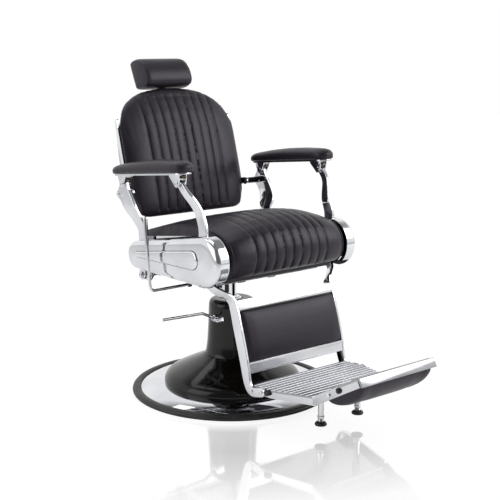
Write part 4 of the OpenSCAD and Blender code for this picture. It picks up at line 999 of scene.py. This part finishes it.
def groove(off, depth, width=1.6):
    """Depth of a sewn line at a distance off it, with the cover puckering up to it."""
    return depth * math.exp(-(off / width) ** 2) + 0.35 * depth * math.exp(-(off / (4 * width)) ** 2)


class BARBERCHAIR_OT_seat(bpy.types.Operator):
    """Upholsters the seat: nine sewn channels, plain side panels and piping"""
    bl_idname = "barberchair.seat"
    bl_label = "Seat cushion"

    def execute(self, context):
        depth = context.scene.barber_chair_upholstery.groove / MM

        def pinned(p):
            off = seam_at(p.x)
            low = p.z < SEAT_Z + 6
            sewn = abs(off) < 3.2 and p.z > SEAT_Z + 30 and p.y < 186
            edge = abs(abs(p.x) - 234) < 4
            return 1.0 if low or edge else 0.96 if sewn else 0.0

        def seams(p, n):
            off, fade = sewn(p)
            d = (groove(off, 0.5 * depth) + arch(off, depth)) * fade
            if p.z > SEAT_Z + 10:
                d += groove(abs(p.x) - 231, 0.9)
            return d

        def sewn(p):
            off = seam_at(p.x)
            return off, share_of((190 - p.y) / 20) * share_of((p.z - SEAT_Z - 12) / 14)

        def lifted(p):
            front = share_of((-150 - p.y) / 50)
            return Vector((p.x, p.y, p.z + 4 * front * share_of(1 - (p.z - SEAT_Z) / 70)))
        cover = upholstered("seat_cushion", "seat_cover", 0.006, 0.009, pinned, "seat", lifted, seams,
                            sewn=sewn)
        for side, mark in both_sides():
            piped_edge(cover, "seat_piping_" + mark, side * PIPING_X, (40, 500), (14, 196, 72), 2.7, "seat")
        return {"FINISHED"}


class BARBERCHAIR_OT_backrest(bpy.types.Operator):
    """Upholsters the backrest: channelled middle, plain sides and a wrapped top"""
    bl_idname = "barberchair.backrest"
    bl_label = "Back cushion"

    def execute(self, context):
        depth = context.scene.barber_chair_upholstery.groove / MM
        into = BACK.inverted()

        def pinned(p):
            q = into @ p
            off = seam_at(q.x)
            rear = q.y > 5 and q.z < 400
            sewn = abs(off) < 3.2 and q.y < 2 and q.z < 425
            return 1.0 if rear else 0.96 if sewn else 0.0

        def fade_at(q):
            return share_of((438 - q.z) / 30) * share_of((q.z - 4) / 12)

        def seams(p, n):
            q = into @ p
            off = seam_at(q.x)
            fade = fade_at(q) * (share_of((8 - q.y) / 6) if q.z < 380 else 1)
            ahead = n.dot(BACK.to_3x3() @ Vector((0, 1, 0))) < 0.2
            return (groove(off, 0.5 * depth) + arch(off, depth)) * fade if ahead else 0

        def sewn(p):
            q = into @ p
            off = seam_at(q.x)
            return off, fade_at(q) * share_of((4 - q.y) / 6)

        def taller(p):
            q = into @ p
            share = share_of(q.z / 446)
            return BACK @ Vector((q.x, q.y, q.z + 7 * share - 12 * (1 - share)))
        upholstered("back_cushion", "back_cover", 0.006, 0.008, pinned, "backrest", taller, seams, sewn=sewn)
        return {"FINISHED"}


class BARBERCHAIR_OT_headrest(bpy.types.Operator):
    """Upholsters the headrest pillow, with a sewn seam around each end"""
    bl_idname = "barberchair.headrest"
    bl_label = "Headrest pillow"

    def execute(self, context):
        into = HEAD.inverted()

        def pinned(p):
            q = into @ p
            return 1.0 if q.y > -19 or abs(abs(q.x) - 93) < 3 else 0.0

        def seams(p, n):
            return groove(abs(p.x) - 92, 1.5, 1.4)

        def wider(p):
            q = into @ p
            return HEAD @ Vector((q.x * 1.08, q.y, q.z * 1.05 - 2))
        upholstered("headrest_cushion", "headrest_cover", 0.004, 0.006, pinned, "headrest", wider, seams)
        return {"FINISHED"}


class BARBERCHAIR_OT_arm_pads(bpy.types.Operator):
    """Upholsters the two arm pads, with a seam low along each side"""
    bl_idname = "barberchair.arm_pads"
    bl_label = "Arm pads"

    def execute(self, context):
        for mark in ("left", "right"):
            into = slope(ARM_TILT, (195, 729)).inverted()

            def pinned(p):
                return 1.0 if (into @ p).z < 37 else 0.0

            def seams(p, n):
                return groove((into @ p).z - 42, 0.8, 1.5)
            upholstered("arm_pad_" + mark, "arm_cover_" + mark, 0.004, 0.004, pinned, "arm_" + mark,
                        after=seams)
        return {"FINISHED"}


class BARBERCHAIR_OT_leg_pads(bpy.types.Operator):
    """Upholsters the calf panel and the pad under the foot flap"""
    bl_idname = "barberchair.leg_pads"
    bl_label = "Calf panel and flap pad"

    def execute(self, context):
        def calf(p):
            return 1.0 if abs(p.x) > 197 else 0.985
        upholstered("calf_panel", "calf_cover", 0.005, 0.001, calf, "leg_rest")
        into = FLAP.inverted()

        def flap(p):
            return 1.0 if (into @ p).z > -9 else 0.0

        def fuller(p):
            q = into @ p
            f = min(0.985, abs(q.x) / 145)
            deep = 1.08 * ((1 - f ** 14) / (1 - f ** 6)) ** 0.5
            return FLAP @ Vector((q.x * 1.055, q.y, -5 + (q.z + 5) * deep))
        upholstered("flap_pad", "flap_cover", 0.005, 0.004, flap, "foot_flap", fuller)
        return {"FINISHED"}


# ---------------------------------------------------------------- stage

CAMERA_LENS, CAMERA_PLACE = 76.06, (-2.22341, -2.7856, 1.19794)
CAMERA_DOWN, CAMERA_TURN = 11.19, -39.59
FLOOR_GLOW, FLOOR_TONE = 0.87, 0.16


class BARBERCHAIR_OT_stage(bpy.types.Operator):
    """Sets the studio: glossy white floor, even white room, soft lamps and the camera"""
    bl_idname = "barberchair.stage"
    bl_label = "Studio"

    def execute(self, context):
        scene = context.scene
        settings = scene.barber_chair_stage
        scene.view_settings.view_transform = "Standard"

        deselect()
        bpy.ops.mesh.primitive_plane_add(size=24)
        floor = named("studio_floor")
        bpy.ops.object.mode_set(mode="EDIT")
        bpy.ops.mesh.subdivide(number_cuts=3)
        leave_edit()
        # White acrylic sheet, polished: white, with a reflection that dies away from the chair
        m, t, s, p = new_finish("White acrylic sheet, polished", Roughness=0.6, IOR=1.2)
        seen = add_node(t, "ShaderNodeLightPath").outputs["Is Camera Ray"]
        tone = add_node(t, "ShaderNodeMix", None, {0: seen}, data_type="RGBA")
        tone.inputs[6].default_value = linear(settings.floor)
        tone.inputs[7].default_value = grey(FLOOR_TONE)
        t.links.new(tone.outputs[2], s.inputs["Base Color"])
        s.inputs["Emission Color"].default_value = (1, 1, 1, 1)
        glow = add_node(t, "ShaderNodeMath", {1: FLOOR_GLOW}, {0: seen}, operation="MULTIPLY")
        t.links.new(glow.outputs[0], s.inputs["Emission Strength"])
        mirror = add_node(t, "ShaderNodeBsdfPrincipled", {"Base Color": (1, 1, 1, 1), "Metallic": 1.0,
                                                          "Roughness": 0.06})
        away = add_node(t, "ShaderNodeVectorMath", {1: (0.0, 0.0, 0.0)}, {0: p}, operation="DISTANCE")
        share = ramp(t, away.outputs["Value"], [(0.37, grey(0.0)), (0.44, grey(0.36)), (0.6, grey(0.42)),
                                                (0.85, grey(0.26)), (1.0, grey(0.08))])
        polish = add_node(t, "ShaderNodeMath", None, {0: share, 1: seen}, operation="MULTIPLY")
        both = add_node(t, "ShaderNodeMixShader", None,
                        {0: polish.outputs[0], 1: s.outputs[0], 2: mirror.outputs[0]})
        out = next(n for n in t.nodes if n.type == "OUTPUT_MATERIAL")
        t.links.new(both.outputs[0], out.inputs["Surface"])
        floor.data.materials.append(m)

        world = bpy.data.worlds.new("studio_room")
        scene.world = world
        world.use_nodes = True
        tree = world.node_tree
        tree.nodes.clear()
        # bright metal sees a white room with a dark ceiling and a dark wall behind the camera
        way = add_node(tree, "ShaderNodeTexCoord")
        parts = add_node(tree, "ShaderNodeSeparateXYZ", None, {0: way.outputs["Generated"]})
        ahead = add_node(tree, "ShaderNodeVectorMath", {1: (-0.625, -0.78, 0.0)}, {0: way.outputs["Generated"]},
                         operation="DOT_PRODUCT")
        walls = ramp(tree, ahead.outputs["Value"], [(0.0, grey(1.0)), (0.5, grey(1.0)), (0.72, grey(0.2)),
                                                    (1.0, grey(0.16))])
        height = ramp(tree, parts.outputs["Z"], [(0.0, grey(1.0)), (0.6, grey(1.0)), (0.74, grey(0.3)),
                                                 (1.0, grey(0.18))])
        room = add_node(tree, "ShaderNodeMix", {"Factor": 1.0}, {"A": walls, "B": height},
                        data_type="RGBA", blend_type="MULTIPLY")
        tree.links.new(walls, room.inputs[6])
        tree.links.new(height, room.inputs[7])
        even = add_node(tree, "ShaderNodeBackground", {"Color": (1, 1, 1, 1), "Strength": settings.sky})
        white = add_node(tree, "ShaderNodeBackground", {"Color": (1, 1, 1, 1), "Strength": 1.0})
        mirror = add_node(tree, "ShaderNodeBackground", {"Strength": 1.0}, {"Color": room.outputs[2]})
        ray = add_node(tree, "ShaderNodeLightPath")
        glossy = add_node(tree, "ShaderNodeMath", None,
                          {0: ray.outputs["Is Glossy Ray"], 1: ray.outputs["Is Transmission Ray"]},
                          operation="MAXIMUM")
        first = add_node(tree, "ShaderNodeMixShader", None,
                         {0: glossy.outputs[0], 1: even.outputs[0], 2: mirror.outputs[0]})
        last = add_node(tree, "ShaderNodeMixShader", None,
                        {0: ray.outputs["Is Camera Ray"], 1: first.outputs[0], 2: white.outputs[0]})
        add_node(tree, "ShaderNodeOutputWorld", None, {0: last.outputs[0]})

        target = Vector((0, -0.05, 0.6))
        for name, where, size, power in (("key_lamp", (2.4, -2.5, 2.5), 2.6, settings.key),
                                         ("top_lamp", (-0.3, 0.9, 3.4), 3.0, settings.key * 0.6),
                                         ("fill_lamp", (-3.2, 0.4, 1.6), 2.4, settings.key * 0.3)):
            data = bpy.data.lights.new(name, "AREA")
            data.shape, data.size, data.energy = "SQUARE", size, power
            lamp = bpy.data.objects.new(name, data)
            scene.collection.objects.link(lamp)
            lamp.location = where
            lamp.rotation_euler = (target - Vector(where)).to_track_quat("-Z", "Y").to_euler()

        data = bpy.data.cameras.new("front_left_camera")
        data.lens, data.sensor_width = CAMERA_LENS, 36
        data.clip_end = 60
        camera = bpy.data.objects.new("front_left_camera", data)
        scene.collection.objects.link(camera)
        camera.location = CAMERA_PLACE
        camera.rotation_euler = (math.radians(90 - CAMERA_DOWN), 0, math.radians(CAMERA_TURN))
        scene.camera = camera
        return {"FINISHED"}


class BARBERCHAIR_PT_panel(bpy.types.Panel):
    """Lists the sizes, the colours and the pieces"""
    bl_idname = "BARBERCHAIR_PT_panel"
    bl_label = "Barber chair"
    bl_space_type = "VIEW_3D"
    bl_region_type = "UI"
    bl_category = "Barber chair"

    def draw(self, context):
        layout = self.layout
        for group in ("upholstery", "metal", "stage"):
            box = layout.box()
            settings = getattr(context.scene, "barber_chair_" + group)
            for key in settings.__annotations__:
                box.prop(settings, key)
        for piece in PIECES:
            layout.operator(piece.bl_idname)


GROUPS = {"barber_chair_upholstery": BarberChairUpholstery, "barber_chair_metal": BarberChairMetal,
          "barber_chair_stage": BarberChairStage}
PIECES = [BARBERCHAIR_OT_finishes, BARBERCHAIR_OT_stage, BARBERCHAIR_OT_base, BARBERCHAIR_OT_column,
          BARBERCHAIR_OT_posts, BARBERCHAIR_OT_leg_bars, BARBERCHAIR_OT_bars, BARBERCHAIR_OT_side_covers,
          BARBERCHAIR_OT_screws, BARBERCHAIR_OT_bushes, BARBERCHAIR_OT_levelling_feet,
          BARBERCHAIR_OT_recline_lever, BARBERCHAIR_OT_seat, BARBERCHAIR_OT_backrest,
          BARBERCHAIR_OT_headrest, BARBERCHAIR_OT_arm_pads, BARBERCHAIR_OT_leg_pads]


def register():
    for group in GROUPS.values():
        bpy.utils.register_class(group)
    for key, group in GROUPS.items():
        setattr(bpy.types.Scene, key, bpy.props.PointerProperty(type=group))
    for piece in PIECES:
        bpy.utils.register_class(piece)
    bpy.utils.register_class(BARBERCHAIR_PT_panel)


def unregister():
    bpy.utils.unregister_class(BARBERCHAIR_PT_panel)
    for piece in reversed(PIECES):
        bpy.utils.unregister_class(piece)
    for key in GROUPS:
        delattr(bpy.types.Scene, key)
    for group in reversed(list(GROUPS.values())):
        bpy.utils.unregister_class(group)


def main():
    register()
    for piece in PIECES:
        family, name = piece.bl_idname.split(".")
        getattr(getattr(bpy.ops, family), name)()


if __name__ == "__main__":
    main()
